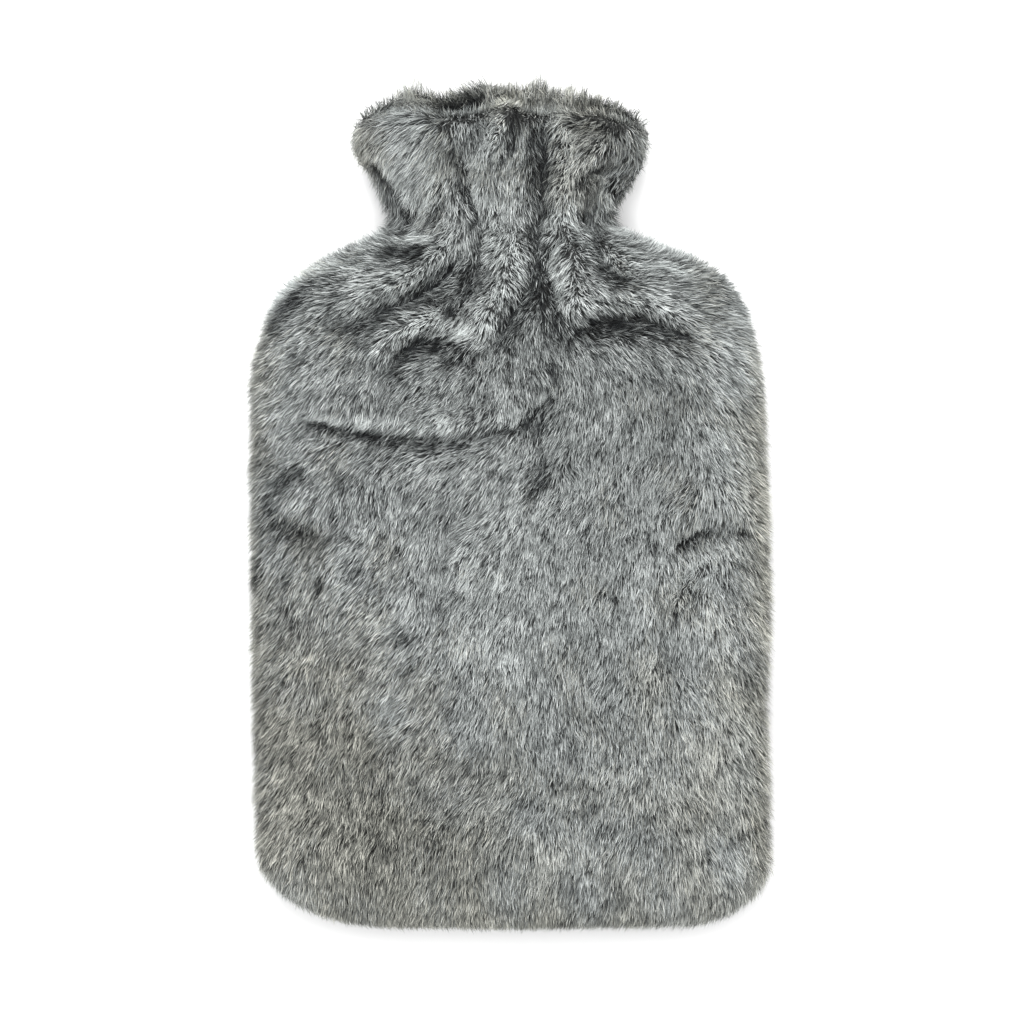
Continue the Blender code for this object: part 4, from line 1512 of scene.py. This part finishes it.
def hair_tone_group() -> bpy.types.NodeTree:
    """Return the node group that turns a hair's map place into its colour."""
    group = bpy.data.node_groups.new("hair_tone", "ShaderNodeTree")
    sockets = (
        ("Place", "Vector"), ("Dark", "Color"), ("Middle", "Color"), ("Pale", "Color"),
        ("Warm", "Color"), ("Root", "Float"),
    )
    for name, kind in sockets:
        group.interface.new_socket(name, in_out="INPUT", socket_type="NodeSocket" + kind)
    group.interface.new_socket("Colour", in_out="OUTPUT", socket_type="NodeSocketColor")
    given, made = group.nodes.new("NodeGroupInput"), group.nodes.new("NodeGroupOutput")
    kinds = "SeparateXYZ MapRange MapRange Mix Mix Math Math Math Math Mix MapRange VectorMath"
    split, lower, upper, first, second, shelves, up, shelf, warmth, tint, rise, shade = (
        group.nodes.new("ShaderNode" + kind) for kind in kinds.split()
    )
    first.data_type = second.data_type = tint.data_type = "RGBA"
    tint.blend_type, rise.interpolation_type = "MULTIPLY", "SMOOTHSTEP"
    shelves.operation, up.operation = "MULTIPLY", "FRACT"
    shelf.operation, warmth.operation, shade.operation = "FLOOR", "DIVIDE", "SCALE"
    set_inputs(lower, {"From Max": 0.5})
    set_inputs(upper, {"From Min": 0.5})
    set_inputs(shelves, {1: WARMTH_SHELVES})
    set_inputs(warmth, {1: WARMTH_SHELVES - 1})
    set_inputs(rise, {"From Min": 0.15, "From Max": 0.8})
    wire(
        group,
        (given, "Place", split, "Vector"),
        # dark, middle and pale along the map's width
        (split, "X", lower, "Value"), (split, "X", upper, "Value"),
        (lower, "Result", first, "Factor"), (upper, "Result", second, "Factor"),
        (given, "Dark", first, "A"), (given, "Middle", first, "B"),
        (first, "Result", second, "A"), (given, "Pale", second, "B"),
        # warmth by the map's shelf, and the rise from root to tip up it
        (split, "Y", shelves, 0), (shelves, "Value", up, 0),
        (shelves, "Value", shelf, 0), (shelf, "Value", warmth, 0),
        (warmth, "Value", tint, "Factor"),
        (second, "Result", tint, "A"), (given, "Warm", tint, "B"),
        (up, "Value", rise, "Value"), (given, "Root", rise, "To Min"),
        (tint, "Result", shade, 0), (rise, "Result", shade, "Scale"),
        (shade, "Vector", made, "Colour"),
    )
    return group


@dataclass
class FurPanel:
    """One panel of the cover: its cloth and its pile."""

    side: Side
    net: PanelNet
    bands: tuple[Band, ...]
    seed: int
    slide: Array
    cloth_step: int = 7
    cloth_thickness: float = 1.4

    @property
    def title(self) -> str:
        """The panel's name."""
        return self.side.name.lower()

    def build(self, pile: bpy.types.Material, backing: bpy.types.Material) -> None:
        """Build the cloth and its pile, and say what they are.

        Args:
            pile: the hairs' material.
            backing: the cloth's material.
        """
        cloth = self._make_cloth(backing)
        pieces = self._make_pile(pile)
        for piece in (cloth, *pieces):
            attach(piece, BODY)
        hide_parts(self.title + "_panel")

    def _make_cloth(self, backing: bpy.types.Material) -> bpy.types.Object:
        """Lay a grid on the net and give it the cloth's thickness."""
        net, step = self.net, self.cloth_step
        columns = np.arange(0, net.columns, step)
        rows = np.unique(np.append(np.arange(0, net.rows, step), net.rows - 1))
        bpy.ops.object.select_all(action="DESELECT")
        bpy.ops.mesh.primitive_grid_add(
            x_subdivisions=len(columns) - 1, y_subdivisions=len(rows) - 1, size=2
        )
        cloth = bpy.context.object
        cloth.name = cloth.data.name = self.title + "_cloth"
        flat = np.empty(len(cloth.data.vertices) * 3)
        cloth.data.vertices.foreach_get("co", flat)
        across, along = flat[::3] * self.side.value, flat[1::3]
        i = columns[np.rint((across + 1) / 2 * (len(columns) - 1)).astype(int)]
        j = rows[np.rint((along + 1) / 2 * (len(rows) - 1)).astype(int)]
        points = (net.points[j, i] + self.slide) * MM
        cloth.data.vertices.foreach_set("co", points.ravel())
        cloth.data.update()
        wall = cloth.modifiers.new("thickness", "SOLIDIFY")
        wall.thickness = self.cloth_thickness * MM
        wall.offset = -1
        bpy.ops.object.modifier_apply(modifier=wall.name)
        cloth.data.shade_smooth()
        cloth.data.materials.append(backing)
        log.info("%s: %d faces", cloth.name, len(cloth.data.polygons))
        return cloth

    def _make_pile(self, pile: bpy.types.Material) -> list[bpy.types.Object]:
        """Grow the pile, one piece for each band of the panel."""
        grower = PileGrower(self.net, np.random.default_rng(self.seed))
        pieces = []
        for band in self.bands:
            kinds = [
                grower.grow(hair, density, band.first, band.last)
                for hair, density in ((UNDER, band.under), (GUARD, band.guard))
            ]
            pieces.append(self._join(f"{self.title}_pile_{band.name}", kinds))
            pieces[-1].data.materials.append(pile)
        return pieces

    def _join(self, name: str, kinds: list[Strands]) -> bpy.types.Object:
        """Make one mesh of hairs of several kinds.

        Args:
            name: the piece's name.
            kinds: the hairs.

        Returns:
            The piece, linked to the scene.
        """
        points, loops, starts, places = [], [], [], []
        first_point = first_loop = 0
        for strands in kinds:
            corners, map_places = strands.ribbons()
            faces = strands.faces()
            pattern = np.concatenate(faces)
            hairs = np.arange(strands.count)[:, None]
            points.append(((corners + self.slide) * MM).reshape(-1, 3))
            places.append(map_places[:, pattern].reshape(-1, 2))
            loops.append((first_point + hairs * corners.shape[1] + pattern).ravel())
            face_starts = np.cumsum([0] + [len(face) for face in faces[:-1]])
            starts.append((first_loop + hairs * len(pattern) + face_starts).ravel())
            first_point += strands.count * corners.shape[1]
            first_loop += strands.count * len(pattern)
        mesh = bpy.data.meshes.new(name)
        mesh.vertices.add(first_point)
        mesh.vertices.foreach_set("co", np.concatenate(points).ravel())
        mesh.loops.add(first_loop)
        mesh.loops.foreach_set("vertex_index", np.concatenate(loops).astype(np.int32))
        all_starts = np.concatenate(starts).astype(np.int32)
        mesh.polygons.add(len(all_starts))
        mesh.polygons.foreach_set("loop_start", all_starts)
        layer = mesh.uv_layers.new(name="OFBake")
        layer.uv.foreach_set("vector", np.concatenate(places).astype(np.float32).ravel())
        mesh.update(calc_edges=True)
        mesh.validate()
        piece = bpy.data.objects.new(name, mesh)
        bpy.context.scene.collection.objects.link(piece)
        log.info("%s: %d triangles", name, first_loop - 2 * len(all_starts))
        return piece


@dataclass
class Studio:
    """A pale floor, soft light from above and the camera over the cover.

    Each light is given by its place and its size.
    """

    frame_width: float = 1024 * 0.408 * MM
    middle: Span = (0.0004, -0.0033)
    camera_height: float = 1.6
    outline_height: float = SEAM_Z * MM
    sensor: float = 36
    floor_size: float = 6
    floor_grey: float = 0.92
    floor_roughness: float = 0.8
    floor_specular: float = 0.2
    overhead: tuple[Triple, float] = ((0, 0.1, 1.9), 1.8)
    window: tuple[Triple, float] = ((-0.25, 1.5, 1.6), 1.2)
    power: float = 36
    sky: float = 0.74

    def build(self) -> None:
        """Set the floor, the lights, the sky and the camera."""
        self._floor()
        self._area("overhead", *self.overhead)
        self._area("window", *self.window)
        world = bpy.data.worlds.new("studio")
        bpy.context.scene.world = world
        world.use_nodes = True
        sky = {"Color": (1, 1, 1, 1), "Strength": self.sky}
        set_inputs(world.node_tree.nodes["Background"], sky)
        self._camera()
        bpy.context.scene.view_settings.view_transform = "Standard"

    def _floor(self) -> None:
        """Lay the floor."""
        bpy.ops.object.select_all(action="DESELECT")
        bpy.ops.mesh.primitive_plane_add(size=self.floor_size)
        floor = bpy.context.object
        floor.name = "floor"
        own = {
            "Base Color": (*[self.floor_grey] * 3, 1),
            "Roughness": self.floor_roughness,
            "Specular IOR Level": self.floor_specular,
        }
        floor.data.materials.append(new_material("pale_floor", own)[0])

    def _hang(self, data: bpy.types.ID, place: Triple) -> bpy.types.Object:
        """Put a light or a camera at its place."""
        thing = bpy.data.objects.new(data.name, data)
        bpy.context.scene.collection.objects.link(thing)
        thing.location = place
        return thing

    def _area(self, name: str, place: Triple, size: float) -> None:
        """Hang one square light that points at the cover."""
        light = bpy.data.lights.new(name, "AREA")
        light.size, light.energy = size, self.power
        lamp = self._hang(light, place)
        lamp.rotation_euler = (-Vector(place)).to_track_quat("-Z", "Y").to_euler()

    def _camera(self) -> None:
        """Hang the camera straight above, framed on the outline's level."""
        data = bpy.data.cameras.new("camera")
        data.sensor_width = self.sensor
        away = self.camera_height - self.outline_height
        data.lens = self.sensor * away / self.frame_width
        bpy.context.scene.camera = self._hang(data, (*self.middle, self.camera_height))


def outline_slide() -> Array:
    """Return how far the frame's outline lies from the tables' own."""
    low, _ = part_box("front_panel")
    widest = column(SECTIONS, "left").max()
    return np.array([low[0] / MM + widest, low[1] / MM - BOTTOM_Y, 0])


def main() -> None:
    """Load the frame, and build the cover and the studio."""
    logging.basicConfig(level=logging.INFO, format="%(message)s")
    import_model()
    slide = outline_slide()
    form = CoverForm()
    pile, backing = PileFinish().material(), BackingFinish().material()
    Studio().build()
    for side, bands, seed in ((Side.FRONT, FRONT_BANDS, 11), (Side.BACK, BACK_BANDS, 23)):
        FurPanel(side, PanelNet(side, form), bands, seed, slide).build(pile, backing)


if __name__ == "__main__":
    main()
